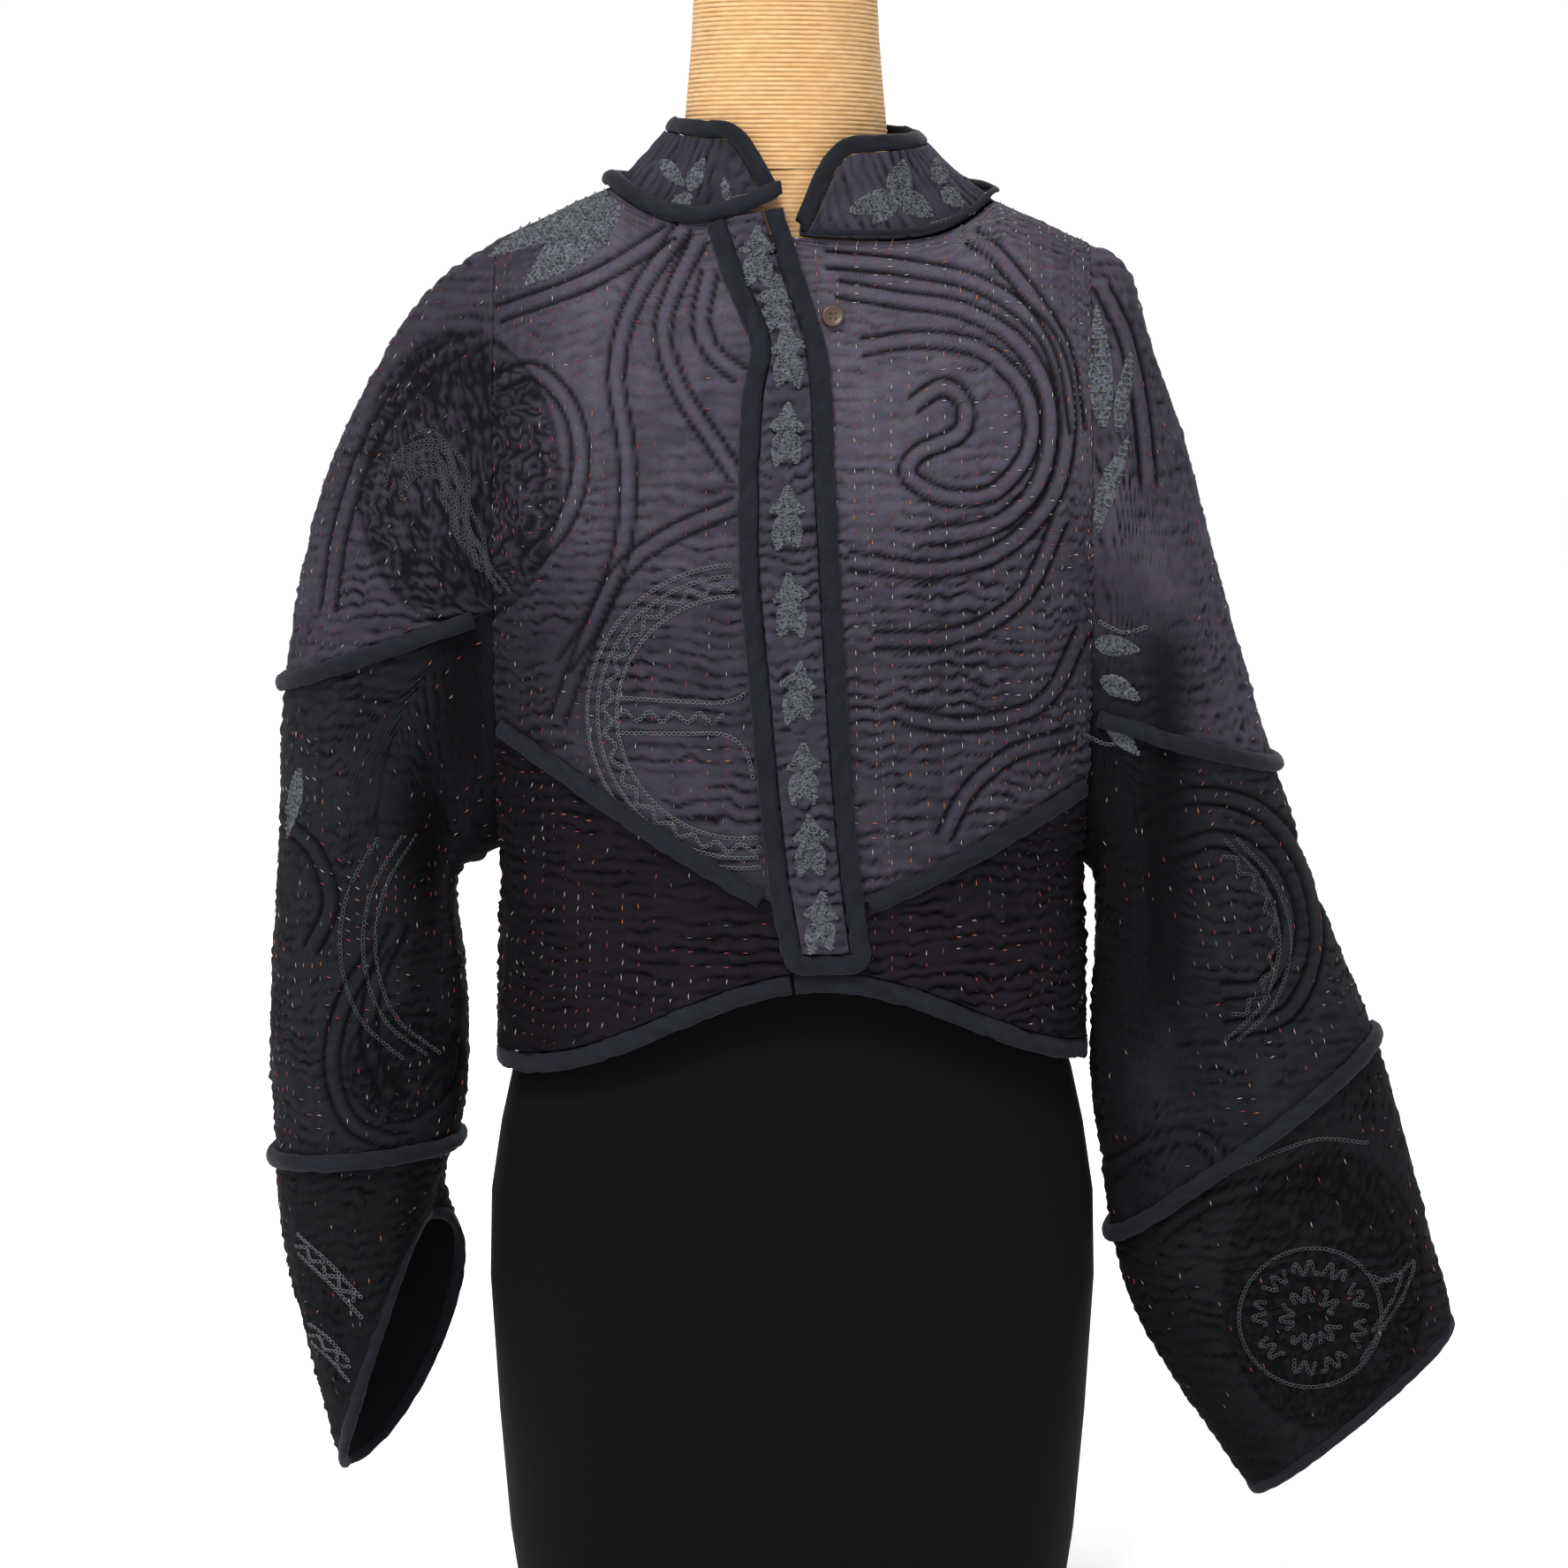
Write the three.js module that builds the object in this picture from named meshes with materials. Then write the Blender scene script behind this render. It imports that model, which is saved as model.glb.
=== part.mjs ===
// A short quilted kantha jacket, standing on the limbless dress form that it rests on.
// Millimetres, +Z up. X runs to the wearer's left and the fronts face -Y.
// The origin is the middle of the underside of the form's base.
// Every cloth piece is a thin wall: its outer side carries the quilting ripples, its inner side is plain.

import * as THREE from 'three';

// driving dimensions
const WALL = 3;               // quilted cloth, three layers
const SEAM_GAP = 0.3;         // between pieces that are sewn together
const RIPPLE = 0.7;           // height of the quilting ripples, each way
const SHOULDER_START = 690;   // height where the chest starts to round over to the shoulder
const SHOULDER_END = 850;     // end of that stretch, measured along the cloth
const SIDE_X = 168;           // armhole seams
const UNDERARM_Z = 450;
const ARMHOLE_HALF_DEPTH = 58;
const NECK = { x: 6, half: 109, front: 72, back: 70, backZ: 828 };
const SHOULDER = { right: { neckZ: 828, tipZ: 798 }, left: { neckZ: 820, tipZ: 796 } };
const HEM = { sideZ: 331, rise: 56, centre: 16, reach: 184, backRise: 4 };
const BINDING = { width: 11, thick: 5 };
const CORD = { width: 13, height: 6.5, lift: 0.45 };
const PLACKET = { bottom: 1.7, top: 4.8, endZ: 397 };
const BUTTON = { x: 22, z: 754, radius: 6.3, thick: 3 };

// jacket body: half width, and the depth of the middle of the front and of the back
const BODY = [
  { z: 320, half: 171, front: 120, back: 112 },
  { z: 380, half: 169.5, front: 115, back: 105 },
  { z: 430, half: 168, front: 113, back: 100 },
  { z: 500, half: 168, front: 121, back: 101 },
  { z: 560, half: 168, front: 128, back: 104 },
  { z: 620, half: 168, front: 122, back: 106 },
  { z: 700, half: 168, front: 98, back: 98 },
  { z: 760, half: 168, front: 84, back: 88 },
  { z: 850, half: 168, front: 68, back: 62 },
];

// middle lines of the bindings down the two long sides of the front band
const BAND_EDGE = [
  { z: 397, right: 0, left: 38 },
  { z: 445, right: -8, left: 32 },
  { z: 500, right: -14, left: 27 },
  { z: 560, right: -19, left: 23 },
  { z: 619, right: -24, left: 20 },
  { z: 676, right: -24, left: 17 },
  { z: 710, right: -22, left: 16 },
  { z: 740, right: -18, left: 12 },
  { z: 775, right: -32, left: 1 },
  { z: 812, right: -44, left: -10 },
];

// sleeve sections from the armhole to the cuff: the upper and the under edge, how far the cloth stands
// to the front and to the back of the line between them, how far those two are shifted sideways,
// and the trough that the armpit fold leaves in the front
const SLEEVE = {
  right: {
    sign: -1,
    rows: [
      { ox: 168, oz: 798, ix: 168, iz: 450, mid: 0, front: 58, back: 58, fx: 0, bx: 0, trough: 0, at: 120 },
      { ox: 205, oz: 771, ix: 175, iz: 447, mid: 0, front: 63, back: 60, fx: 0, bx: 0, trough: 3, at: 122 },
      { ox: 232, oz: 734, ix: 180, iz: 444, mid: 0, front: 65, back: 62, fx: 0, bx: 0, trough: 8, at: 126 },
      { ox: 259, oz: 683, ix: 186, iz: 442, mid: 0, front: 65, back: 63, fx: 0, bx: 0, trough: 16, at: 132 },
      { ox: 275, oz: 633, ix: 191, iz: 438, mid: 0, front: 64, back: 63, fx: 0, bx: 0, trough: 22, at: 136 },
      { ox: 291, oz: 546, ix: 195, iz: 424, mid: 0, front: 62, back: 62, fx: 0, bx: 0, trough: 22, at: 138 },
      { ox: 296, oz: 450, ix: 191, iz: 390, mid: 0, front: 60, back: 60, fx: 0, bx: 0, trough: 14, at: 138 },
      { ox: 302, oz: 350, ix: 188, iz: 340, mid: 0, front: 60, back: 60, fx: 0, bx: 0, trough: 6, at: 132 },
      { ox: 300, oz: 290, ix: 192, iz: 292, mid: -2, front: 58, back: 58, fx: 0, bx: 0, trough: 3, at: 124 },
      { ox: 294, oz: 220, ix: 203, iz: 262, mid: -4, front: 54, back: 56, fx: -4, bx: 4, trough: 0, at: 120 },
      { ox: 262, oz: 92, ix: 209, iz: 238, mid: -6, front: 46, back: 48, fx: -8, bx: 28, trough: 0, at: 120 },
    ],
    seams: [
      { x: 290, z: 546, slope: -0.36, least: 0, most: 6.5 },
      { x: 287, z: 250, slope: 0.5, least: 7, most: 8.3 },
    ],
  },
  left: {
    sign: 1,
    rows: [
      { ox: 168, oz: 796, ix: 168, iz: 450, mid: 0, front: 58, back: 58, fx: 0, bx: 0, trough: 0, at: 110 },
      { ox: 190, oz: 782, ix: 173, iz: 442, mid: 0, front: 63, back: 60, fx: 0, bx: 0, trough: 4, at: 108 },
      { ox: 206, oz: 734, ix: 177, iz: 437, mid: 0, front: 67, back: 62, fx: 0, bx: 0, trough: 8, at: 106 },
      { ox: 224, oz: 683, ix: 180, iz: 430, mid: 0, front: 70, back: 63, fx: 0, bx: 0, trough: 12, at: 104 },
      { ox: 241, oz: 620, ix: 181, iz: 418, mid: 0, front: 72, back: 64, fx: 0, bx: 0, trough: 15, at: 104 },
      { ox: 267, oz: 530, ix: 181, iz: 392, mid: 0, front: 71, back: 64, fx: 0, bx: 0, trough: 16, at: 106 },
      { ox: 302, oz: 428, ix: 179, iz: 350, mid: 0, front: 66, back: 62, fx: 0, bx: 0, trough: 12, at: 112 },
      { ox: 342, oz: 326, ix: 179, iz: 292, mid: -2, front: 58, back: 58, fx: 0, bx: 0, trough: 6, at: 116 },
      { ox: 371, oz: 224, ix: 187, iz: 222, mid: -4, front: 50, back: 52, fx: 0, bx: 0, trough: 2, at: 120 },
      { ox: 379, oz: 198, ix: 207, iz: 165, mid: -6, front: 46, back: 48, fx: 0, bx: 0, trough: 0, at: 120 },
      { ox: 384, oz: 176, ix: 266, iz: 76, mid: -8, front: 40, back: 42, fx: 0, bx: 0, trough: 0, at: 120 },
    ],
    seams: [
      { x: 277, z: 499, slope: -0.29, least: 0, most: 6.5 },
      { x: 335, z: 341, slope: 0.78, least: 6.2, most: 9 },
    ],
  },
};

// standing collar: where its upper edge lies
const COLLAR = { x: 2, half: 70, front: 64, back: 65, rightZ: 867, leftZ: 859, backZ: 864, round: 52 };

// dress form: horizontal sections, with how deep the shoulders are beside the neck
const FORM = [
  { z: 16.3, half: 160, front: 105, back: 108, side: 1 },
  { z: 50, half: 165, front: 110, back: 112, side: 1 },
  { z: 120, half: 171, front: 116, back: 116, side: 1 },
  { z: 200, half: 176, front: 119, back: 119, side: 1 },
  { z: 250, half: 175, front: 117, back: 117, side: 1 },
  { z: 290, half: 169, front: 110, back: 107, side: 1 },
  { z: 322, half: 162, front: 102, back: 99, side: 1 },
  { z: 370, half: 146, front: 94, back: 90, side: 1 },
  { z: 425, half: 130, front: 88, back: 84, side: 1 },
  { z: 500, half: 140, front: 98, back: 87, side: 1 },
  { z: 574, half: 151, front: 107, back: 92, side: 1 },
  { z: 640, half: 150, front: 101, back: 94, side: 1 },
  { z: 700, half: 150, front: 84, back: 86, side: 1 },
  { z: 740, half: 149, front: 75, back: 78, side: 0.95 },
  { z: 770, half: 147, front: 69, back: 70, side: 0.78 },
  { z: 790.5, half: 144, front: 65, back: 62, side: 0.55 },
  { z: 803.6, half: 139, front: 62, back: 57, side: 0.34 },
  { z: 810.7, half: 124, front: 60, back: 54, side: 0.3 },
  { z: 816.7, half: 111, front: 59, back: 52, side: 0.4 },
  { z: 822, half: 92, front: 58, back: 52, side: 0.6 },
  { z: 829, half: 72, front: 57, back: 53, side: 1 },
  { z: 836, half: 61, front: 56, back: 55, side: 1 },
];
const FORM_NECK = [
  { z: 836.3, half: 60 },
  { z: 852, half: 58.5 },
  { z: 880, half: 56 },
  { z: 910, half: 53.5 },
  { z: 940, half: 52 },
];
const FORM_CAP = [
  { z: 940.3, half: 51 },
  { z: 950, half: 51 },
  { z: 957, half: 46 },
  { z: 960, half: 36 },
];
const FORM_BASE = [
  { z: 0, half: 150, front: 96, back: 99, side: 1 },
  { z: 13, half: 150, front: 96, back: 99, side: 1 },
  { z: 16, half: 147, front: 93, back: 96, side: 1 },
];
const FORM_NECK_X = -4;

// how finely each piece is drawn
const GRID = {
  upperRows: 32, lowerRows: 10, frontColumns: 9, backColumns: 16, innerEvery: 4,
  capSides: 11, underSides: 9, sleeveRows: [10, 16, 10], bandRows: 32, bandColumns: 4,
  collarColumns: 32, collarRows: 4, formSides: 24,
};

const RAD = Math.PI / 180;
const clamp = THREE.MathUtils.clamp;

// smooth reading of one column of a table, between its rows
function curve(rows, key, at, by = 'z') {
  const last = rows.length - 1;
  const inside = clamp(at, rows[0][by], rows[last][by]);
  let i = 0;
  while (i < last - 1 && inside > rows[i + 1][by]) i += 1;
  const slope = (k) => {
    const lo = Math.max(k - 1, 0);
    const hi = Math.min(k + 1, last);
    return (rows[hi][key] - rows[lo][key]) / (rows[hi][by] - rows[lo][by]);
  };
  const span = rows[i + 1][by] - rows[i][by];
  const t = (inside - rows[i][by]) / span;
  const hermite = [2 * t ** 3 - 3 * t ** 2 + 1, t ** 3 - 2 * t ** 2 + t, 3 * t ** 2 - 2 * t ** 3, t ** 3 - t ** 2];
  return hermite[0] * rows[i][key] + hermite[1] * span * slope(i)
    + hermite[2] * rows[i + 1][key] + hermite[3] * span * slope(i + 1);
}

// ---- the jacket's body

function neckReach(x) {
  return Math.sqrt(Math.max(0, 1 - ((x - NECK.x) / NECK.half) ** 2));
}

// height of the upper edge of a panel: the shoulder seam, and the neckline between the neck points
function topEdge(panel, x) {
  const side = x < NECK.x ? SHOULDER.right : SHOULDER.left;
  const neckPoint = NECK.x + (x < NECK.x ? -NECK.half : NECK.half);
  if (Math.abs(x - NECK.x) >= NECK.half) {
    const run = (Math.abs(x) - Math.abs(neckPoint)) / (SIDE_X - Math.abs(neckPoint));
    return side.neckZ + (side.tipZ - side.neckZ) * run;
  }
  if (panel === 'back') return side.neckZ + (NECK.backZ - side.neckZ) * neckReach(x);
  if (panel === 'frontRight') {
    if (x < -55) return 807 + 21 * ((-55 - x) / 48) ** 2;
    return Math.min(822, 807 + 15 * ((x + 55) / 48) ** 2);
  }
  if (x > 42) return 796 + 24 * ((x - 42) / 73) ** 3;
  return 796 + 2 * ((42 - x) / 40) ** 2;
}

function armholeDepth(z, top) {
  const rise = clamp((z - UNDERARM_Z) / (top - UNDERARM_Z), 0, 1);
  return ARMHOLE_HALF_DEPTH * Math.sin(Math.acos(2 * rise - 1)) ** 0.9;
}

// angle runs from -90 at the right side to 90 at the left; reach is the height, and above the chest
// it is the length along the cloth
function bodyPoint(panel, angle, reach) {
  const turn = clamp((reach - SHOULDER_START) / (SHOULDER_END - SHOULDER_START), 0, 1) * Math.PI / 2;
  const facing = panel === 'back' ? 1 : -1;
  const x = curve(BODY, 'half', reach) * Math.sin(angle);
  const top = topEdge(panel, x);
  const z = reach <= SHOULDER_START ? reach : SHOULDER_START + (top - SHOULDER_START) * Math.sin(turn);
  const topY = (panel === 'back' ? NECK.back : NECK.front) * neckReach(x);
  const depth = curve(BODY, panel === 'back' ? 'back' : 'front', z);
  const middle = topY + (depth - topY) * Math.max(0, Math.cos(turn)) ** 1.2;
  const power = 1 + 0.9 * THREE.MathUtils.smoothstep(z, UNDERARM_Z, 680);
  const across = Math.max(0, Math.cos(angle)) ** power;
  const spread = 1 + 1.6 * (1 - THREE.MathUtils.smoothstep(z, UNDERARM_Z, 620));
  const edge = armholeDepth(z, top) * (1 - across) ** spread;
  return new THREE.Vector3(x, facing * (SEAM_GAP / 2 + edge + middle * across), z);
}

// at the neckline the cloth is read a little below its edge, where it already stands upright
function bodyNormal(panel, angle, at) {
  const step = 0.012;
  const pull = 16 * Math.min(1, 1.5 * neckReach(curve(BODY, 'half', at) * Math.sin(angle)));
  const reach = Math.min(at, SHOULDER_END - pull);
  const a0 = clamp(angle - step, -Math.PI / 2, Math.PI / 2);
  const a1 = clamp(angle + step, -Math.PI / 2, Math.PI / 2);
  const r0 = Math.min(reach - 1, SHOULDER_END - 2);
  const r1 = Math.min(reach + 1, SHOULDER_END);
  const along = bodyPoint(panel, a1, reach).sub(bodyPoint(panel, a0, reach));
  const up = bodyPoint(panel, angle, r1).sub(bodyPoint(panel, angle, r0));
  return along.cross(up).multiplyScalar(panel === 'back' ? -1 : 1).normalize();
}

function angleAt(x, reach) {
  return Math.asin(clamp(x / curve(BODY, 'half', reach), -1, 1));
}

// the place on a front or the back that lies at x and z, moved out by lift
function onBody(panel, x, z, lift) {
  const top = topEdge(panel, x);
  const over = clamp((z - SHOULDER_START) / (top - SHOULDER_START), 0, 1);
  const reach = z <= SHOULDER_START ? z
    : SHOULDER_START + (SHOULDER_END - SHOULDER_START) * Math.asin(over) / (Math.PI / 2);
  const angle = angleAt(x, reach);
  const normal = bodyNormal(panel, angle, reach);
  return { point: bodyPoint(panel, angle, reach).addScaledVector(normal, lift), normal };
}

// the slanting seams that part the upper panels from the lower ones
function waistSeam(panel, x) {
  if (panel === 'frontRight') return 430 + 97 * (Math.abs(Math.min(x + 9, 0)) / 159) ** 1.05;
  if (panel === 'frontLeft') return 431 + 61 * (Math.max(x - 43, 0) / 125) ** 1.1;
  const far = Math.hypot(x, 18) - 18;
  return 436 + (x < 0 ? 91 : 56) * far / (Math.hypot(SIDE_X, 18) - 18);
}

function hemLine(panel, x) {
  if (panel === 'back') return HEM.sideZ + HEM.backRise * Math.cos(x / SIDE_X * Math.PI / 2);
  const away = clamp(Math.abs(x - HEM.centre) / HEM.reach, 0, 1);
  return HEM.sideZ + HEM.rise * (1 + Math.cos(Math.PI * away)) / 2;
}

// ---- the sleeves

function sleevePoint(side, turn, station) {
  const { sign, rows } = SLEEVE[side];
  const at = clamp(station, 0, rows.length - 1);
  const read = (key) => {
    const table = rows.map((row, index) => ({ index, value: row[key] }));
    return curve(table, 'value', at, 'index');
  };
  const swing = Math.sin(turn);
  const reach = Math.abs(swing) ** 0.9;
  const isFront = swing > 0;
  const fold = isFront ? read('trough') * Math.exp(-(((turn / RAD - read('at')) / 17) ** 2)) : 0;
  const depth = (isFront ? read('front') : read('back')) * reach - fold;
  const share = (1 + Math.cos(turn)) / 2;
  const shift = (isFront ? read('fx') : -read('bx')) * reach;
  return new THREE.Vector3(
    sign * (read('ix') + (read('ox') - read('ix')) * share - shift * (isFront ? 1 : -1)),
    read('mid') + (isFront ? -depth : depth),
    read('iz') + (read('oz') - read('iz')) * share,
  );
}

function sleeveNormal(side, turn, station) {
  const last = SLEEVE[side].rows.length - 1;
  const around = sleevePoint(side, turn + 0.05, station).sub(sleevePoint(side, turn - 0.05, station));
  const s0 = clamp(station - 0.05, 0, last);
  const s1 = clamp(station + 0.05, 0, last);
  const along = sleevePoint(side, turn, s1).sub(sleevePoint(side, turn, s0));
  return around.cross(along).multiplyScalar(SLEEVE[side].sign).normalize();
}

// the station where the sleeve meets a slanting seam line, found by halving; under the arm the upper
// line has already run into the armhole seam, and the station is 0
function seamStation(side, turn, seam) {
  let low = seam.least;
  let high = seam.most;
  for (let i = 0; i < 24; i += 1) {
    const middle = (low + high) / 2;
    const p = sleevePoint(side, turn, middle);
    const line = seam.z + seam.slope * (Math.abs(p.x) - seam.x);
    if (p.z > line) low = middle;
    else high = middle;
  }
  return (low + high) / 2;
}

function sleeveBounds(side, turn) {
  const { seams, rows } = SLEEVE[side];
  return [0, seamStation(side, turn, seams[0]), seamStation(side, turn, seams[1]), rows.length - 1];
}

// ---- solids from grids of points

function addGrid(faces, index, rows, columns, closed, flip) {
  const lastColumn = closed ? columns : columns - 1;
  for (let r = 0; r < rows - 1; r += 1) {
    for (let c = 0; c < lastColumn; c += 1) {
      const right = (c + 1) % columns;
      const quad = [index(r, c), index(r, right), index(r + 1, right), index(r + 1, c)];
      if (flip) quad.reverse();
      faces.push([quad[0], quad[1], quad[2]], [quad[0], quad[2], quad[3]]);
    }
  }
}

// joins an edge of the outer side to the same edge of the inner side
function addRim(faces, outer, inner) {
  let o = 0;
  let i = 0;
  while (o < outer.length - 1 || i < inner.length - 1) {
    const nextOuter = (o + 1) / (outer.length - 1);
    const nextInner = (i + 1) / (inner.length - 1);
    if (i === inner.length - 1 || (o < outer.length - 1 && nextOuter <= nextInner)) {
      faces.push([outer[o + 1], outer[o], inner[i]]);
      o += 1;
    } else {
      faces.push([inner[i], inner[i + 1], outer[o]]);
      i += 1;
    }
  }
}

function meshFrom(name, points, faces, finish) {
  let volume = 0;
  for (const [a, b, c] of faces) {
    volume += points[a].dot(new THREE.Vector3().crossVectors(points[b], points[c]));
  }
  const corners = volume < 0 ? faces.flatMap(([a, b, c]) => [a, c, b]) : faces.flat();
  const geometry = new THREE.BufferGeometry();
  geometry.setAttribute('position', new THREE.Float32BufferAttribute(points.flatMap((p) => p.toArray()), 3));
  geometry.setIndex(corners);
  geometry.computeVertexNormals();
  const mesh = new THREE.Mesh(geometry, finish);
  mesh.name = name;
  return mesh;
}

// a wall of cloth: outer and inner are rows of points, open like a panel or closed like a tube
function wallMesh(name, outer, inner, closed, finish) {
  const points = [...outer.flat(), ...inner.flat()];
  const faces = [];
  const offset = outer.length * outer[0].length;
  const outerAt = (r, c) => r * outer[0].length + c;
  const innerAt = (r, c) => offset + r * inner[0].length + c;
  addGrid(faces, outerAt, outer.length, outer[0].length, closed, false);
  addGrid(faces, innerAt, inner.length, inner[0].length, closed, true);
  const range = (n) => Array.from({ length: n }, (_, k) => k);
  const columnsOf = (grid) => (closed ? [...range(grid[0].length), 0] : range(grid[0].length));
  const outerTop = outer.length - 1;
  const innerTop = inner.length - 1;
  const outerColumns = columnsOf(outer);
  const innerColumns = columnsOf(inner);
  addRim(faces, outerColumns.map((c) => outerAt(0, c)), innerColumns.map((c) => innerAt(0, c)));
  addRim(faces, outerColumns.map((c) => outerAt(outerTop, c)).reverse(),
    innerColumns.map((c) => innerAt(innerTop, c)).reverse());
  if (!closed) {
    const rightOuter = outer[0].length - 1;
    const rightInner = inner[0].length - 1;
    addRim(faces, range(outer.length).map((r) => outerAt(r, rightOuter)),
      range(inner.length).map((r) => innerAt(r, rightInner)));
    addRim(faces, range(outer.length).map((r) => outerAt(r, 0)).reverse(),
      range(inner.length).map((r) => innerAt(r, 0)).reverse());
  }
  return meshFrom(name, points, faces, finish);
}

// ripples in alternate rows, uneven along each row, that die away at the edges of the piece and,
// where room is the distance to a corded seam, under the cord
function ripple(row, rows, across, spacing, room = 99) {
  const clear = THREE.MathUtils.smoothstep(room, 6, 12);
  const edge = clear * Math.min(1, row, rows - row) * Math.min(1, across * 9, (1 - across) * 9);
  const uneven = 0.62 + 0.38 * Math.sin(across * 9.1 + row * 2.3) * Math.cos(row * 1.7 - across * 4);
  const fine = clamp(spacing / 8, 0, 1);
  return (row % 2 ? 1 : -1) * RIPPLE * edge * uneven * fine;
}

// a panel from place(across, up), which gives the smooth point, its normal, its distance to the corded
// seam and the length of its column
function panelMesh(name, columns, rows, innerRows, place, finish) {
  const outer = [];
  for (let r = 0; r <= rows; r += 1) {
    outer.push(Array.from({ length: columns + 1 }, (_, c) => {
      const { point, normal, room, spacing } = place(c / columns, r / rows);
      return point.clone().addScaledVector(normal, ripple(r, rows, c / columns, spacing / rows, room));
    }));
  }
  const inner = [];
  for (let r = 0; r <= innerRows; r += 1) {
    inner.push(Array.from({ length: columns + 1 }, (_, c) => {
      const { point, normal } = place(c / columns, r / innerRows);
      return point.clone().addScaledVector(normal, -WALL);
    }));
  }
  return wallMesh(name, outer, inner, false, finish);
}

// a bar of constant section along frames { point, side, out }; section is a list of [side, out] offsets
function barMesh(name, frames, section, closed, finish) {
  const points = frames.flatMap((frame) => section.map(([side, out]) => frame.point.clone()
    .addScaledVector(frame.side, side).addScaledVector(frame.out, out)));
  const count = section.length;
  const faces = [];
  const rings = frames.length;
  for (let r = 0; r < (closed ? rings : rings - 1); r += 1) {
    const next = (r + 1) % rings;
    for (let k = 0; k < count; k += 1) {
      const other = (k + 1) % count;
      faces.push([r * count + k, r * count + other, next * count + other]);
      faces.push([r * count + k, next * count + other, next * count + k]);
    }
  }
  if (!closed) {
    const end = (rings - 1) * count;
    for (let k = 1; k < count - 1; k += 1) {
      faces.push([0, k + 1, k]);
      faces.push([end, end + k, end + k + 1]);
    }
  }
  return meshFrom(name, points, faces, finish);
}

// frames along a line of { point, normal }: side lies across the line in the cloth, out stands off it
function framesAlong(places, closed) {
  return places.map(({ point, normal }, i) => {
    const n = places.length;
    const before = places[closed ? (i + n - 1) % n : Math.max(i - 1, 0)].point;
    const after = places[closed ? (i + 1) % n : Math.min(i + 1, n - 1)].point;
    const run = after.clone().sub(before).normalize();
    const side = run.clone().cross(normal).normalize();
    const out = side.clone().cross(run).normalize();
    return { point, side, out };
  });
}

// piping cord: flat where it lies on the cloth, domed above
function cordSection(width, height, lift) {
  const half = width / 2;
  return [[-half * 0.75, lift], [-half, lift + height * 0.4], [-half * 0.5, lift + height * 0.93],
    [half * 0.5, lift + height * 0.93], [half, lift + height * 0.4], [half * 0.75, lift]];
}

// binding round a raw edge: an oval bar with its middle shifted across and out
function bindingSection(width, thick, across, out) {
  return Array.from({ length: 6 }, (_, k) => {
    const turn = k * Math.PI / 3;
    const blunt = (value) => Math.sign(value) * Math.abs(value) ** 0.8;
    return [across + blunt(Math.cos(turn)) * width / 2, out + blunt(Math.sin(turn)) * thick / 2];
  });
}

// ---- finishes

const finishes = {
  upper: new THREE.MeshStandardMaterial({ color: 0x46434a, roughness: 0.92, metalness: 0 }),
  lower: new THREE.MeshStandardMaterial({ color: 0x231f25, roughness: 0.95, metalness: 0 }),
  sleeve: new THREE.MeshStandardMaterial({ color: 0x2c2b31, roughness: 0.94, metalness: 0 }),
  cuff: new THREE.MeshStandardMaterial({ color: 0x212124, roughness: 0.94, metalness: 0 }),
  collar: new THREE.MeshStandardMaterial({ color: 0x3e3d46, roughness: 0.92, metalness: 0 }),
  binding: new THREE.MeshStandardMaterial({ color: 0x40414a, roughness: 0.8, metalness: 0 }),
  button: new THREE.MeshStandardMaterial({ color: 0x8e7a6c, roughness: 0.5, metalness: 0 }),
  jersey: new THREE.MeshStandardMaterial({ color: 0x1b1c1f, roughness: 0.85, metalness: 0 }),
  straw: new THREE.MeshStandardMaterial({ color: 0xd7b689, roughness: 0.8, metalness: 0 }),
  beech: new THREE.MeshStandardMaterial({ color: 0xc7a77c, roughness: 0.6, metalness: 0 }),
};

// ---- jacket body

const bandX = (key, z) => curve(BAND_EDGE, key, z);

// the two ends of a panel's row, as angles round the body; the fronts meet under the band's right binding
function panelSpan(panel, reach) {
  if (panel === 'back') return [-Math.PI / 2, Math.PI / 2];
  let inner = -0.1;
  for (let pass = 0; pass < 4; pass += 1) {
    const middle = bandX('right', bodyPoint(panel, inner, reach).z);
    inner = angleAt(middle + (panel === 'frontRight' ? -1 : 1), reach);
  }
  return panel === 'frontRight' ? [-Math.PI / 2, inner] : [inner, Math.PI / 2];
}

function bodyPlace(panel, part) {
  return (across, up) => {
    const seamAt = (angle) => waistSeam(panel, SIDE_X * Math.sin(angle));
    const hemAt = (angle) => hemLine(panel, SIDE_X * Math.sin(angle)) + BINDING.width / 2 + 3 * SEAM_GAP;
    let reach = 500;
    let angle = 0;
    for (let pass = 0; pass < 4; pass += 1) {
      const [start, end] = panelSpan(panel, reach);
      angle = start + (end - start) * across;
      const seam = seamAt(angle) + (part === 'upper' ? SEAM_GAP : -SEAM_GAP);
      reach = part === 'upper' ? seam + (SHOULDER_END - seam) * up : hemAt(angle) + (seam - hemAt(angle)) * up;
    }
    const seam = seamAt(angle);
    return {
      point: bodyPoint(panel, angle, reach),
      normal: bodyNormal(panel, angle, reach),
      room: Math.abs(reach - seam),
      spacing: part === 'upper' ? SHOULDER_END - seam : seam - hemAt(angle),
    };
  };
}

const panels = [
  { name: 'front_right', panel: 'frontRight', columns: GRID.frontColumns },
  { name: 'front_left', panel: 'frontLeft', columns: GRID.frontColumns + 2 },
  { name: 'back', panel: 'back', columns: GRID.backColumns },
];

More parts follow.
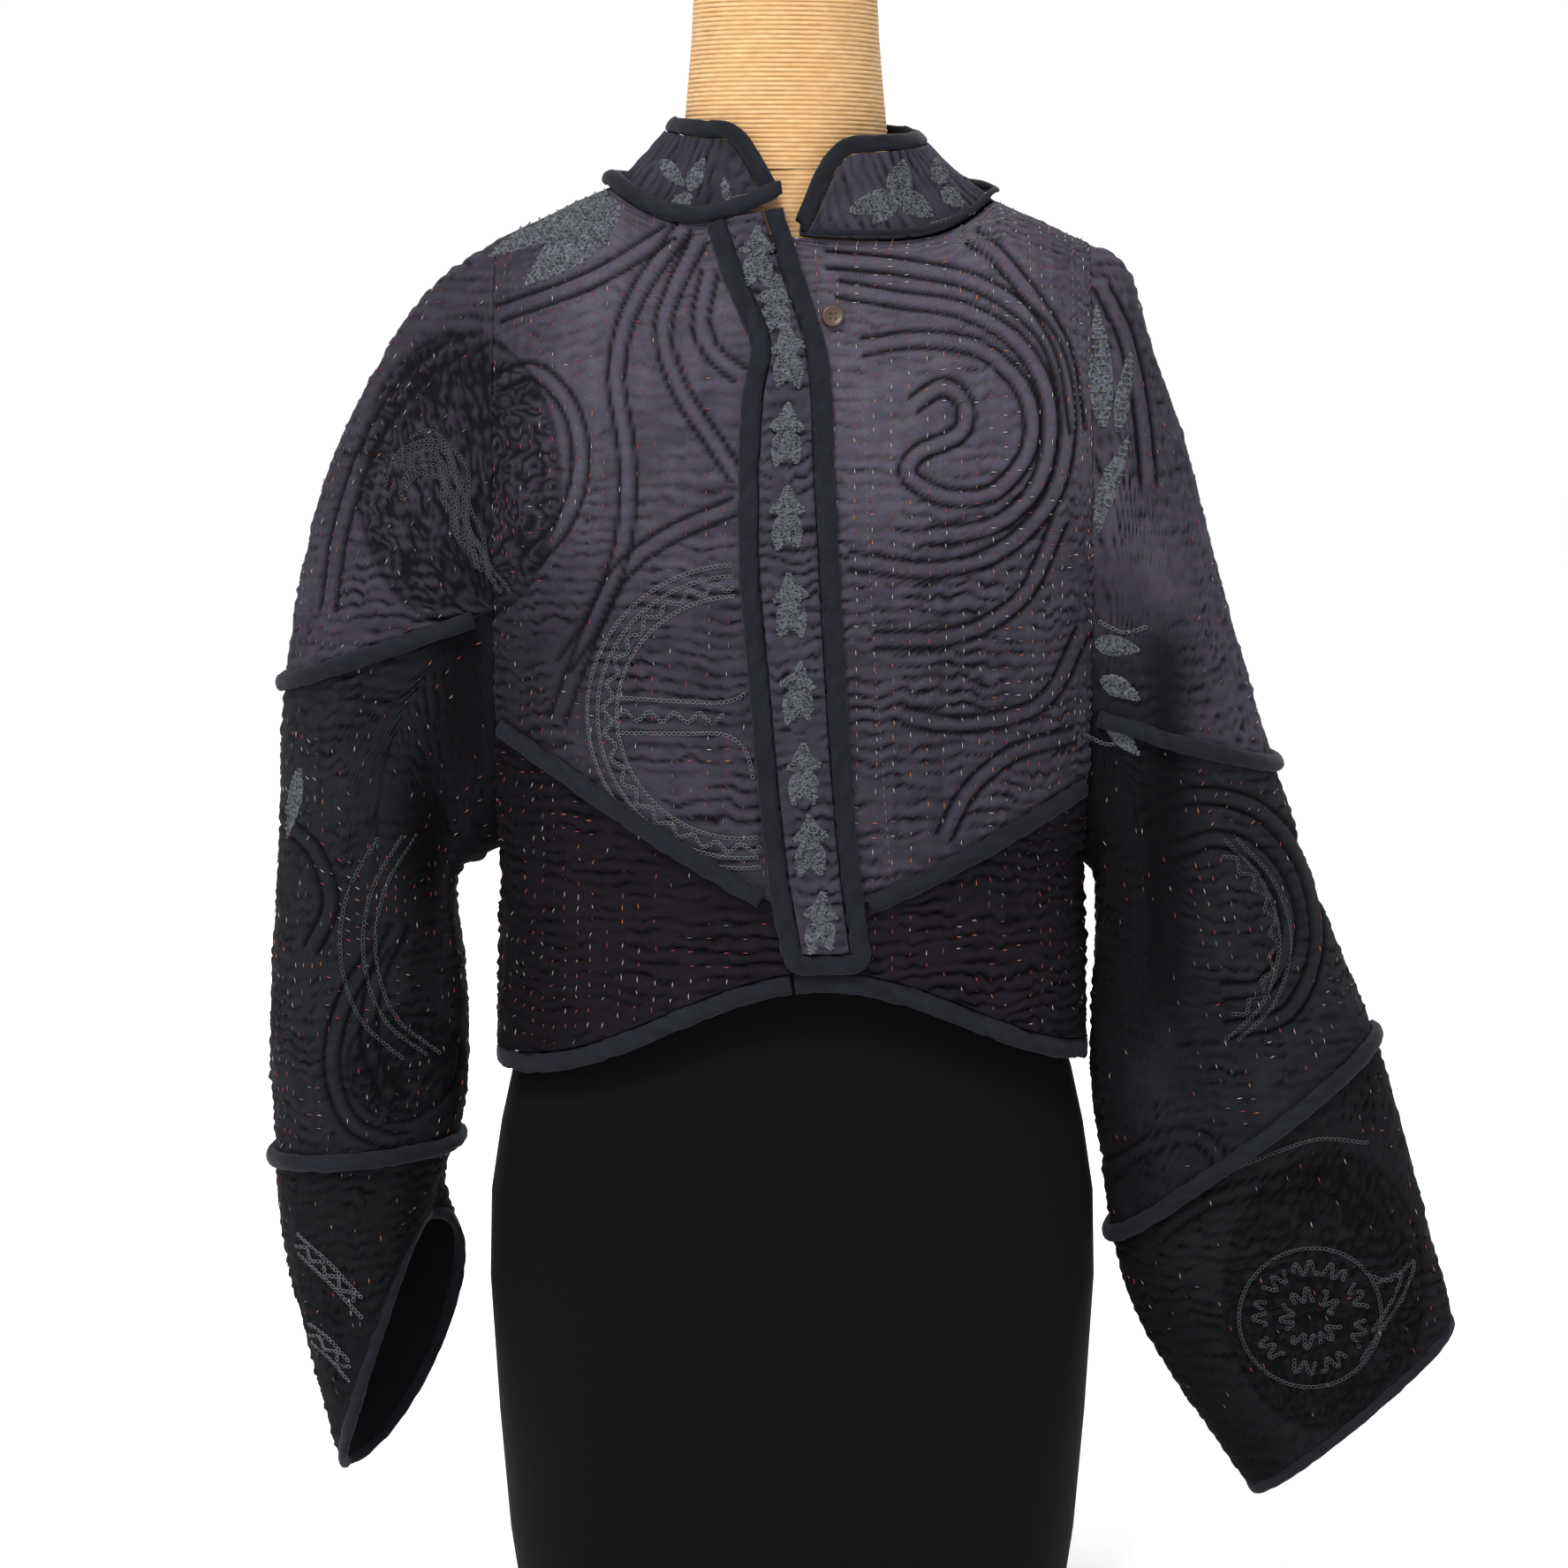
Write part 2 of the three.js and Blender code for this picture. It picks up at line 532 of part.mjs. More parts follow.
function makeBody() {
  return panels.flatMap(({ name, panel, columns }) => {
    const upperInner = Math.round(GRID.upperRows / GRID.innerEvery);
    const lowerInner = Math.round(GRID.lowerRows / 2);
    return [
      panelMesh(`${name}_upper`, columns, GRID.upperRows, upperInner, bodyPlace(panel, 'upper'), finishes.upper),
      panelMesh(`${name}_lower`, columns, GRID.lowerRows, lowerInner, bodyPlace(panel, 'lower'), finishes.lower),
    ];
  });
}

function lineOnBody(panel, from, to, steps, heightOf, lift) {
  return Array.from({ length: steps + 1 }, (_, k) => {
    const x = SIDE_X * Math.sin(from + (to - from) * k / steps);
    return onBody(panel, x, heightOf(x), lift);
  });
}

// cords over the slanting seams; each stops just short of the armholes and of the front band
function makeWaistCords() {
  const nearSide = Math.asin((SIDE_X - 5) / SIDE_X);
  const rows = [
    { name: 'waist_cord_right', panel: 'frontRight', from: -nearSide, to: Math.asin(-17 / SIDE_X), steps: 12 },
    { name: 'waist_cord_left', panel: 'frontLeft', from: Math.asin(42 / SIDE_X), to: nearSide, steps: 12 },
    { name: 'waist_cord_back', panel: 'back', from: -nearSide, to: nearSide, steps: 24 },
  ];
  return rows.map(({ name, panel, from, to, steps }) => {
    const line = lineOnBody(panel, from, to, steps, (x) => waistSeam(panel, x), 0);
    return barMesh(name, framesAlong(line, false), cordSection(CORD.width, CORD.height, CORD.lift), false,
      finishes.binding);
  });
}

// bindings round the hem, one along each bottom panel
function makeHemBindings() {
  const side = Math.PI / 2 - 0.008;
  const middle = Math.asin(bandX('right', PLACKET.endZ) / SIDE_X);
  const rows = [
    { name: 'hem_binding_right', panel: 'frontRight', from: -side, to: middle - 0.006, steps: 12 },
    { name: 'hem_binding_left', panel: 'frontLeft', from: middle + 0.006, to: side, steps: 12 },
    { name: 'hem_binding_back', panel: 'back', from: -side, to: side, steps: 20 },
  ];
  return rows.map(({ name, panel, from, to, steps }) => {
    const places = Array.from({ length: steps + 1 }, (_, k) => {
      const angle = from + (to - from) * k / steps;
      const reach = hemLine(panel, SIDE_X * Math.sin(angle));
      return { point: bodyPoint(panel, angle, reach), normal: bodyNormal(panel, angle, reach) };
    });
    return barMesh(name, framesAlong(places, false),
      bindingSection(BINDING.width, BINDING.thick, 0, -WALL / 2), false, finishes.binding);
  });
}

// ---- front band

function bandPlace(x, z, lift) {
  return onBody('frontRight', x, z, lift);
}

// top of the band, which slants under the collar
function bandTop(x) {
  return 802 + 10 * clamp((x + 44) / 34, 0, 1);
}

function makeBand() {
  const inset = BINDING.width / 2 + 3 * SEAM_GAP;
  const gridAt = (rows, lift, rough) => Array.from({ length: rows + 1 }, (_, r) => {
    const up = r / rows;
    return Array.from({ length: GRID.bandColumns + 1 }, (_unused, c) => {
      const across = c / GRID.bandColumns;
      let z = PLACKET.endZ + inset + 200 * up;
      let x = 0;
      for (let pass = 0; pass < 3; pass += 1) {
        x = bandX('right', z) + inset + (bandX('left', z) - bandX('right', z) - 2 * inset) * across;
        z = PLACKET.endZ + inset + (bandTop(x) - PLACKET.endZ - inset) * up;
      }
      return bandPlace(x, z, lift + (rough ? ripple(r, rows, across, 8) : 0)).point;
    });
  });
  return wallMesh('front_band', gridAt(GRID.bandRows, PLACKET.top, true), gridAt(16, PLACKET.bottom, false),
    false, finishes.upper);
}

// binding down one side of the band, round its square end and up the other side
function makeBandBinding() {
  const steps = 18;
  const bend = 6.5;
  const lift = (PLACKET.bottom + PLACKET.top) / 2;
  const line = [];
  const topRight = bandTop(bandX('right', 802));
  const topLeft = bandTop(bandX('left', 812));
  for (let k = 0; k <= steps; k += 1) {
    const z = topRight + (PLACKET.endZ + bend - topRight) * k / steps;
    line.push([bandX('right', z), z]);
  }
  for (let k = 1; k < 4; k += 1) {
    const turn = k / 4 * Math.PI / 2;
    line.push([bandX('right', PLACKET.endZ) + bend * (1 - Math.cos(turn)), PLACKET.endZ + bend * (1 - Math.sin(turn))]);
  }
  line.push([bandX('right', PLACKET.endZ) + bend, PLACKET.endZ]);
  line.push([bandX('left', PLACKET.endZ) - bend, PLACKET.endZ]);
  for (let k = 1; k < 4; k += 1) {
    const turn = k / 4 * Math.PI / 2;
    line.push([bandX('left', PLACKET.endZ) - bend * (1 - Math.sin(turn)), PLACKET.endZ + bend * (1 - Math.cos(turn))]);
  }
  for (let k = 0; k <= steps; k += 1) {
    const z = PLACKET.endZ + bend + (topLeft - PLACKET.endZ - bend) * k / steps;
    line.push([bandX('left', z), z]);
  }
  const places = line.map(([x, z]) => bandPlace(x, z, lift));
  return barMesh('front_band_binding', framesAlong(places, false),
    bindingSection(BINDING.width, 4.2, 0, 0), false, finishes.binding);
}

function makeButton() {
  const { point, normal } = onBody('frontLeft', BUTTON.x, BUTTON.z, RIPPLE + SEAM_GAP);
  const profile = [[0, 0], [0.86, 0], [1, 0.35], [0.97, 0.75], [0.8, 1], [0.55, 0.86], [0, 0.8]]
    .map(([r, h]) => new THREE.Vector2(r * BUTTON.radius, h * BUTTON.thick));
  const geometry = new THREE.LatheGeometry(profile, 20);
  const mesh = new THREE.Mesh(geometry, finishes.button);
  mesh.name = 'button';
  mesh.position.copy(point);
  mesh.quaternion.setFromUnitVectors(new THREE.Vector3(0, 1, 0), normal);
  return mesh;
}

// ---- collar

// turn is 0 at the middle of the front and grows towards the wearer's right, round the back to the left
function neckline(turn) {
  const isFront = Math.cos(turn) > 0;
  const x = NECK.x - NECK.half * Math.sin(turn);
  const front = turn < Math.PI ? 'frontRight' : 'frontLeft';
  const panel = isFront ? front : 'back';
  return { panel, point: bodyPoint(panel, angleAt(x, SHOULDER_END), SHOULDER_END) };
}

function collarTop(turn) {
  const isFront = Math.cos(turn) > 0;
  const sideways = Math.sin(turn);
  const sideZ = turn < Math.PI ? COLLAR.rightZ : COLLAR.leftZ;
  const middleZ = isFront ? sideZ - 6 : COLLAR.backZ;
  return new THREE.Vector3(
    COLLAR.x - COLLAR.half * sideways,
    isFront ? -COLLAR.front * Math.cos(turn) : -COLLAR.back * Math.cos(turn),
    sideZ + (middleZ - sideZ) * Math.abs(Math.cos(turn)),
  );
}

// share of the collar's height that stands at this turn; the two front ends are rounded off
function collarHeight(turn) {
  const fromRight = (turn - collarStart) * NECK.half;
  const fromLeft = (collarEnd - turn) * NECK.half;
  const near = clamp(Math.min(fromRight, fromLeft) / COLLAR.round, 0, 1);
  return Math.sin(near * Math.PI / 2) ** 0.8;
}
const collarStart = 8 * RAD;
const collarEnd = 361 * RAD;

function collarPoint(turn, rise) {
  const base = neckline(turn).point;
  const top = collarTop(turn);
  const point = base.clone().lerp(top, rise);
  const bow = 4 * Math.sin(Math.PI * clamp(rise, 0, 1));
  point.x += bow * Math.sin(turn) * 0.8;
  point.y += bow * Math.cos(turn) * 0.6;
  return point;
}

function collarNormal(turn, rise) {
  const around = collarPoint(turn + 0.03, rise).sub(collarPoint(turn - 0.03, rise));
  const up = collarPoint(turn, rise + 0.04).sub(collarPoint(turn, rise - 0.04));
  const normal = up.cross(around).normalize();
  const outward = new THREE.Vector3(-Math.sin(turn), -Math.cos(turn), 0);
  return normal.dot(outward) < 0 ? normal.negate() : normal;
}

function collarPlaces(turn) {
  const height = collarTop(turn).distanceTo(neckline(turn).point);
  const foot = 1.8 / height;
  const head = Math.max(collarHeight(turn) - (BINDING.width - 1.2) / height, foot + 1.6 / height);
  return { foot, head, height };
}

function makeCollar() {
  const gridAt = (rows, lift, rough) => Array.from({ length: rows + 1 }, (_, r) => (
    Array.from({ length: GRID.collarColumns + 1 }, (_unused, c) => {
      const turn = collarStart + (collarEnd - collarStart) * c / GRID.collarColumns;
      const { foot, head } = collarPlaces(turn);
      const rise = foot + (head - foot) * r / rows;
      const rippleHere = rough ? 0.5 * Math.sin(c * 2.6) * Math.sin(Math.PI * r / rows) : 0;
      return collarPoint(turn, rise).addScaledVector(collarNormal(turn, rise), lift + rippleHere);
    })
  ));
  return wallMesh('collar', gridAt(GRID.collarRows, 0, true), gridAt(2, -WALL, false), false, finishes.collar);
}

function makeCollarBinding() {
  const steps = GRID.collarColumns;
  const width = BINDING.width - 1.5;
  const places = Array.from({ length: steps + 1 }, (_, k) => {
    const turn = collarStart + (collarEnd - collarStart) * k / steps;
    const rise = collarPlaces(turn).head;
    const normal = collarNormal(turn, rise);
    return { point: collarPoint(turn, rise).addScaledVector(normal, -WALL / 2), normal };
  });
  const frames = framesAlong(places, false);
  const upward = Math.sign(frames[steps / 2].side.z);
  return barMesh('collar_binding', frames,
    bindingSection(width, BINDING.thick, upward * (width / 2 + 2 * SEAM_GAP), 0), false, finishes.binding);
}

// the rolled cord over the seam between the collar and the body
function makeNeckCord() {
  const steps = 34;
  const start = collarStart - 2 * RAD;
  const end = collarEnd - 3 * RAD;
  const places = Array.from({ length: steps + 1 }, (_, k) => {
    const turn = start + (end - start) * k / steps;
    const { panel, point } = neckline(turn);
    const below = bodyPoint(panel, angleAt(point.x, SHOULDER_END), SHOULDER_END - 7);
    const above = collarPoint(turn, 0.1);
    const run = neckline(turn + 0.05).point.sub(neckline(turn - 0.05).point).normalize();
    const normal = above.clone().sub(below).cross(run).normalize();
    const bridge = above.add(below).multiplyScalar(0.5);
    const ridge = Math.max(0, point.sub(bridge).dot(normal));
    return { point: bridge.addScaledVector(normal, ridge), normal };
  });
  return barMesh('neck_cord', framesAlong(places, false), cordSection(10, 7.5, 1.4), false, finishes.binding);
}

// ---- sleeves

// half a seam's gap, as a share of a station
function seamShare(side, turn, station) {
  const length = sleevePoint(side, turn, station + 0.1).distanceTo(sleevePoint(side, turn, station - 0.1)) / 0.2;
  return 1.4 * SEAM_GAP / length;
}

// how far round from the top of the arm the upper piece reaches, at the front or the back of the armhole
function upperReach(side, direction, station) {
  let low = 0;
  let high = Math.PI;
  for (let i = 0; i < 24; i += 1) {
    const middle = (low + high) / 2;
    if (seamStation(side, direction * middle, SLEEVE[side].seams[0]) > station) low = middle;
    else high = middle;
  }
  return direction * low;
}

// the turns at which a sleeve's pieces have their points: over the cap, and then on round under the arm
function sleeveTurns(side) {
  const spread = (from, to, sides) => Array.from({ length: sides + 1 }, (_, k) => from + (to - from) * k / sides);
  const cap = spread(upperReach(side, -1, 0.16), upperReach(side, 1, 0.16), GRID.capSides);
  const underFrom = upperReach(side, 1, 0.01);
  const underTo = 2 * Math.PI + upperReach(side, -1, 0.01);
  const under = spread(underFrom, underTo, GRID.underSides);
  return { cap, round: [...cap, ...under] };
}

// one piece of a sleeve between two of its seams; the upper piece is a cap that ends at the armhole
function makeSleevePiece(side, part, index) {
  const isCap = index === 0;
  const rows = GRID.sleeveRows[index];
  const turns = isCap ? sleeveTurns(side).cap : sleeveTurns(side).round;
  const rowAt = (up, lift, row) => turns.map((turn, c) => {
    const bounds = sleeveBounds(side, turn);
    const from = bounds[index] > 0 ? bounds[index] + seamShare(side, turn, bounds[index]) : 0;
    const to = bounds[index + 1] - (index === 2 ? 0 : seamShare(side, turn, bounds[index + 1]));
    const station = from + (to - from) * up;
    const point = sleevePoint(side, turn, station);
    const normal = sleeveNormal(side, turn, station);
    if (station < 0.02) {
      normal.x = 0;
      normal.normalize();
      point.x = SLEEVE[side].sign * (SIDE_X + SEAM_GAP);
    }
    const start = sleevePoint(side, turn, bounds[index]);
    const end = sleevePoint(side, turn, bounds[index + 1]);
    const room = Math.min(point.distanceTo(start), point.distanceTo(end));
    const across = isCap ? c / GRID.capSides : 0.5;
    const rough = row === null ? 0 : ripple(row, rows, across, start.distanceTo(end) / rows, room);
    return point.addScaledVector(normal, lift + rough);
  });
  const outer = Array.from({ length: rows + 1 }, (_, r) => rowAt(r / rows, 0, r));
  const innerRows = Math.max(3, Math.round(rows / 3.2));
  const inner = Array.from({ length: innerRows + 1 }, (_, r) => rowAt(r / innerRows, -WALL, null));
  const finish = part === 'cuff' ? finishes.cuff : finishes.sleeve;
  return wallMesh(`sleeve_${side}_${part}`, outer, inner, !isCap, finish);
}

function makeSleeve(side) {
  return ['upper', 'middle', 'cuff'].map((part, index) => makeSleevePiece(side, part, index));
}

// cords over the two slanting seams, the lower one right round, and the binding round the cuff
function makeSleeveTrim(side) {
  const { cap, round } = sleeveTurns(side);
  const short = [upperReach(side, -1, 0.6), ...cap.slice(1, -1), upperReach(side, 1, 0.6)];
  const cords = SLEEVE[side].seams.map((seam, index) => {
    const isRound = index === 1;
    const places = (isRound ? round : short).map((turn) => {
      const station = seamStation(side, turn, seam);
      return { point: sleevePoint(side, turn, station), normal: sleeveNormal(side, turn, station) };
    });
    return barMesh(`sleeve_${side}_cord_${index + 1}`, framesAlong(places, isRound),
      cordSection(CORD.width - 1, CORD.height - 0.5, CORD.lift + 0.8), isRound, finishes.binding);
  });
  const last = SLEEVE[side].rows.length - 1;
  const edge = round.map((turn) => {
    const normal = sleeveNormal(side, turn, last);
    return { point: sleevePoint(side, turn, last).addScaledVector(normal, -WALL / 2), normal };
  });
  const frames = framesAlong(edge, true);
  const outward = sleevePoint(side, 0, last).sub(sleevePoint(side, 0, last - 0.5));
  const beyond = Math.sign(frames[0].side.dot(outward));
  const binding = barMesh(`cuff_binding_${side}`, frames,
    bindingSection(6, BINDING.thick, beyond * (3 + 2 * SEAM_GAP), 0), true, finishes.binding);
  return [...cords, binding];
}

// ---- dress form

function formSection(row) {
  return Array.from({ length: GRID.formSides }, (_, c) => {
    const turn = c / GRID.formSides * 2 * Math.PI;
    const x = row.half * Math.cos(turn);
    const nearNeck = Math.exp(-((x / 62) ** 2));
    const depth = (Math.sin(turn) < 0 ? row.front : row.back) * (row.side + (1 - row.side) * nearNeck);
    return new THREE.Vector3(x, depth * Math.sin(turn), row.z);
  });
}

function stackMesh(name, sections, finish) {
  const points = sections.flat();
  const count = sections[0].length;
  const faces = [];
  addGrid(faces, (r, c) => r * count + c, sections.length, count, true, false);
  const middleOf = (section) => section.reduce((sum, p) => sum.add(p), new THREE.Vector3()).divideScalar(count);
  const low = points.push(middleOf(sections[0])) - 1;
  const high = points.push(middleOf(sections[sections.length - 1])) - 1;
  const topRow = (sections.length - 1) * count;
  for (let c = 0; c < count; c += 1) {
    const right = (c + 1) % count;
    faces.push([low, right, c]);
    faces.push([high, topRow + c, topRow + right]);
  }
  return meshFrom(name, points, faces, finish);
}

function roundSection({ z, half }) {
  return Array.from({ length: GRID.formSides }, (_, c) => {
    const turn = c / GRID.formSides * 2 * Math.PI;
    return new THREE.Vector3(FORM_NECK_X + half * Math.cos(turn), half * 0.94 * Math.sin(turn), z);
  });
}

function makeForm() {
  return [
    stackMesh('form_torso', FORM.map(formSection), finishes.jersey),
    stackMesh('form_neck', FORM_NECK.map(roundSection), finishes.straw),
    stackMesh('form_neck_cap', FORM_CAP.map(roundSection), finishes.beech),
    stackMesh('form_base', FORM_BASE.map(formSection), finishes.beech),
  ];
}

const jacket = new THREE.Group();
jacket.add(...makeBody(), ...makeWaistCords(), ...makeHemBindings());
jacket.add(makeBand(), makeBandBinding(), makeButton());
jacket.add(makeCollar(), makeCollarBinding(), makeNeckCord());
for (const side of Object.keys(SLEEVE)) jacket.add(...makeSleeve(side), ...makeSleeveTrim(side));
jacket.add(...makeForm());

export default jacket;
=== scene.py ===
# The looks of a quilted kantha jacket on its dress form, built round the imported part.
# Tables and patterns are in millimetres, and addMesh turns them to metres.

import math

import bpy
import numpy as np
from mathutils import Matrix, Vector
from mathutils.bvhtree import BVHTree


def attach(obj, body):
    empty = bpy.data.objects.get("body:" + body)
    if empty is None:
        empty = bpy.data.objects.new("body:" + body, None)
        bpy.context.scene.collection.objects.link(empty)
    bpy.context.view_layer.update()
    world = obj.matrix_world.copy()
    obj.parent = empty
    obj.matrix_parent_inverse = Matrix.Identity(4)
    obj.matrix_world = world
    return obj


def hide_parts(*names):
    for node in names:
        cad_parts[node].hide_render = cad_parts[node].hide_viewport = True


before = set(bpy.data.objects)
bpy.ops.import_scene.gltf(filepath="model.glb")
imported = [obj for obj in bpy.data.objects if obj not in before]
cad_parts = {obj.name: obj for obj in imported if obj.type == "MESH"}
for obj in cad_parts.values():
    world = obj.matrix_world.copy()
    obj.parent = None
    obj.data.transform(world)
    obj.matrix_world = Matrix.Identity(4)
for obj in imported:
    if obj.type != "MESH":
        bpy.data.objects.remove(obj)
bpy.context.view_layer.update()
toMetres = 0.001
cloth = {}


# small tools

def toLinear(hexColour):
    channels = [int(hexColour[i:i + 2], 16) / 255 for i in (1, 3, 5)]
    return [c / 12.92 if c <= 0.04045 else ((c + 0.055) / 1.055) ** 2.4 for c in channels] + [1.0]


def smoothStep(value, low, high):
    t = np.clip((value - low) / (high - low), 0, 1)
    return t * t * (3 - 2 * t)


# smooth random field, about -1 to 1, with one lump in each unit square
def softNoise(u, v, seed):
    lattice = np.random.RandomState(seed).uniform(-1, 1, (64, 64))
    u, v = np.broadcast_arrays(np.asarray(u, float), np.asarray(v, float))
    i, j = np.floor(u).astype(int), np.floor(v).astype(int)
    a, b = u - i, v - j
    a, b = a * a * (3 - 2 * a), b * b * (3 - 2 * b)
    i0, i1, j0, j1 = i % 64, (i + 1) % 64, j % 64, (j + 1) % 64
    low = lattice[i0, j0] * (1 - a) + lattice[i1, j0] * a
    high = lattice[i0, j1] * (1 - a) + lattice[i1, j1] * a
    return low * (1 - b) + high * b


def unit(vectors):
    return vectors / np.maximum(np.linalg.norm(vectors, axis=-1, keepdims=True), 1e-9)


# smooth reading of one column of a table, between its rows
def readTable(table, key, at, by="z"):
    knots, values = np.array(table[by], float), np.array(table[key], float)
    at = np.clip(np.asarray(at, float), knots[0], knots[-1])
    i = np.searchsorted(knots[1:-1], at, side="left")
    lo, hi = np.maximum(np.arange(len(knots)) - 1, 0), np.minimum(np.arange(len(knots)) + 1, len(knots) - 1)
    slopes = (values[hi] - values[lo]) / (knots[hi] - knots[lo])
    span = knots[i + 1] - knots[i]
    t = (at - knots[i]) / span
    return ((2 * t ** 3 - 3 * t ** 2 + 1) * values[i] + (t ** 3 - 2 * t ** 2 + t) * span * slopes[i]
            + (3 * t ** 2 - 2 * t ** 3) * values[i + 1] + (t ** 3 - t ** 2) * span * slopes[i + 1])


# a smooth curve through a few control points, with a point about every step
def smoothLine(points, step=2.0, closed=False):
    points = np.array(points, float)
    if closed:
        padded = np.vstack([points[-1], points, points[:2]])
    else:
        padded = np.vstack([2 * points[0] - points[1], points, 2 * points[-1] - points[-2]])
    out = []
    for a, b, c, d in zip(padded[:-3], padded[1:-2], padded[2:-1], padded[3:]):
        count = max(2, int(np.linalg.norm(c - b) / step))
        t = np.linspace(0, 1, count, endpoint=False)[:, None]
        out.append(0.5 * (2 * b + (c - a) * t + (2 * a - 5 * b + 4 * c - d) * t ** 2
                          + (3 * b - a - 3 * c + d) * t ** 3))
    if not closed:
        out.append(points[-1:])
    return np.vstack(out)


# points at even steps along a line
def evenly(points, step):
    lengths = np.concatenate([[0], np.cumsum(np.linalg.norm(np.diff(points, axis=0), axis=1))])
    at = np.arange(0, lengths[-1], step)
    return np.stack([np.interp(at, lengths, points[:, k]) for k in range(points.shape[1])], axis=1)


def addMesh(name, points, faces, material, slot=None, smooth=True, tint=None, replaces=(), kinds=None):
    mesh = bpy.data.meshes.new(name)
    mesh.from_pydata((np.asarray(points) * toMetres).tolist(), [], [list(map(int, f)) for f in faces])
    for one in material if isinstance(material, list) else [material]:
        mesh.materials.append(one)
    if kinds is not None:
        mesh.polygons.foreach_set("material_index", np.asarray(kinds, np.int32))
    mesh.polygons.foreach_set("use_smooth", [smooth] * len(mesh.polygons))
    if tint is not None:
        layer = mesh.attributes.new("tint", "FLOAT", "POINT")
        layer.data.foreach_set("value", np.asarray(tint, np.float32).ravel())
    mesh.update()
    piece = bpy.data.objects.new(name, mesh)
    bpy.context.scene.collection.objects.link(piece)
    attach(piece, "root")
    if replaces:
        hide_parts(*replaces)
    return piece


def gridFaces(rows, columns, closed, start=0, flip=False):
    r, c = np.meshgrid(np.arange(rows - 1), np.arange(columns if closed else columns - 1), indexing="ij")
    right = (c + 1) % columns
    quads = np.stack([r * columns + c, r * columns + right, (r + 1) * columns + right, (r + 1) * columns + c], -1)
    quads = quads.reshape(-1, 4) + start
    return quads[:, ::-1] if flip else quads


# joins an edge of the outer side to the same edge of the inner side
def rimFaces(outer, inner):
    faces = []
    o = i = 0
    while o < len(outer) - 1 or i < len(inner) - 1:
        nextOuter, nextInner = (o + 1) / (len(outer) - 1), (i + 1) / (len(inner) - 1)
        if i == len(inner) - 1 or (o < len(outer) - 1 and nextOuter <= nextInner):
            faces.append([outer[o + 1], outer[o], inner[i]])
            o += 1
        else:
            faces.append([inner[i], inner[i + 1], outer[o]])
            i += 1
    return faces


# turns a closed mesh's faces over where they look inward
def facedOut(points, faces):
    fan = np.array([[f[0], f[k], f[k + 1]] for f in faces for k in range(1, len(f) - 1)])
    volume = np.einsum("ij,ij->", points[fan[:, 0]], np.cross(points[fan[:, 1]], points[fan[:, 2]]))
    return [f[::-1] for f in faces] if volume < 0 else faces


liningTint = 0.4  # the inner side has one even shade


# a wall of cloth from its outer points and its inner points, each rows by columns by 3
def wallMesh(name, outer, inner, closed, tint, **rest):
    rows, columns = outer.shape[:2]
    innerRows, innerColumns = inner.shape[:2]
    start = rows * columns
    out = np.arange(start).reshape(rows, columns)
    back = start + np.arange(innerRows * innerColumns).reshape(innerRows, -1)
    loop = (lambda line: np.append(line, line[0])) if closed else (lambda line: line)
    faces = gridFaces(rows, columns, closed).tolist()
    faces += gridFaces(innerRows, innerColumns, closed, start, True).tolist()
    faces += rimFaces(loop(out[0]), loop(back[0]))
    faces += rimFaces(loop(out[-1])[::-1], loop(back[-1])[::-1])
    if not closed:
        faces += rimFaces(out[:, -1], back[:, -1])
        faces += rimFaces(out[::-1, 0], back[::-1, 0])
    points = np.vstack([outer.reshape(-1, 3), inner.reshape(-1, 3)])
    shade = np.concatenate([np.ravel(tint), np.full(inner[..., 0].size, liningTint)])
    return addMesh(name, points, facedOut(points, faces), tint=shade, **rest)


# finishes

# settings are a node's own or its inputs' values; links go to its inputs, by name or number
def addNode(tree, kind, settings=None, links=None):
    node = tree.nodes.new(kind)
    for name, value in (settings or {}).items():
        if isinstance(name, str) and hasattr(node, name):
            setattr(node, name, value)
        else:
            node.inputs[name].default_value = value
    for name, source in (links or {}).items():
        tree.links.new(source, node.inputs[name])
    return node


# a mix of colours takes its two colours at these sockets and gives the result at the third
mixLow, mixHigh, mixOut = 6, 7, 2


# material, its tree, its shader, and for a pattern the place on the object as a link
def newMaterial(name, finish, patterned=True):
    material = bpy.data.materials.new(name)
    material.use_nodes = True
    tree = material.node_tree
    shader = tree.nodes["Principled BSDF"]
    for key, value in finish.items():
        shader.inputs[key].default_value = value
    place = {"Vector": addNode(tree, "ShaderNodeTexCoord").outputs["Object"]} if patterned else {}
    return material, tree, shader, place


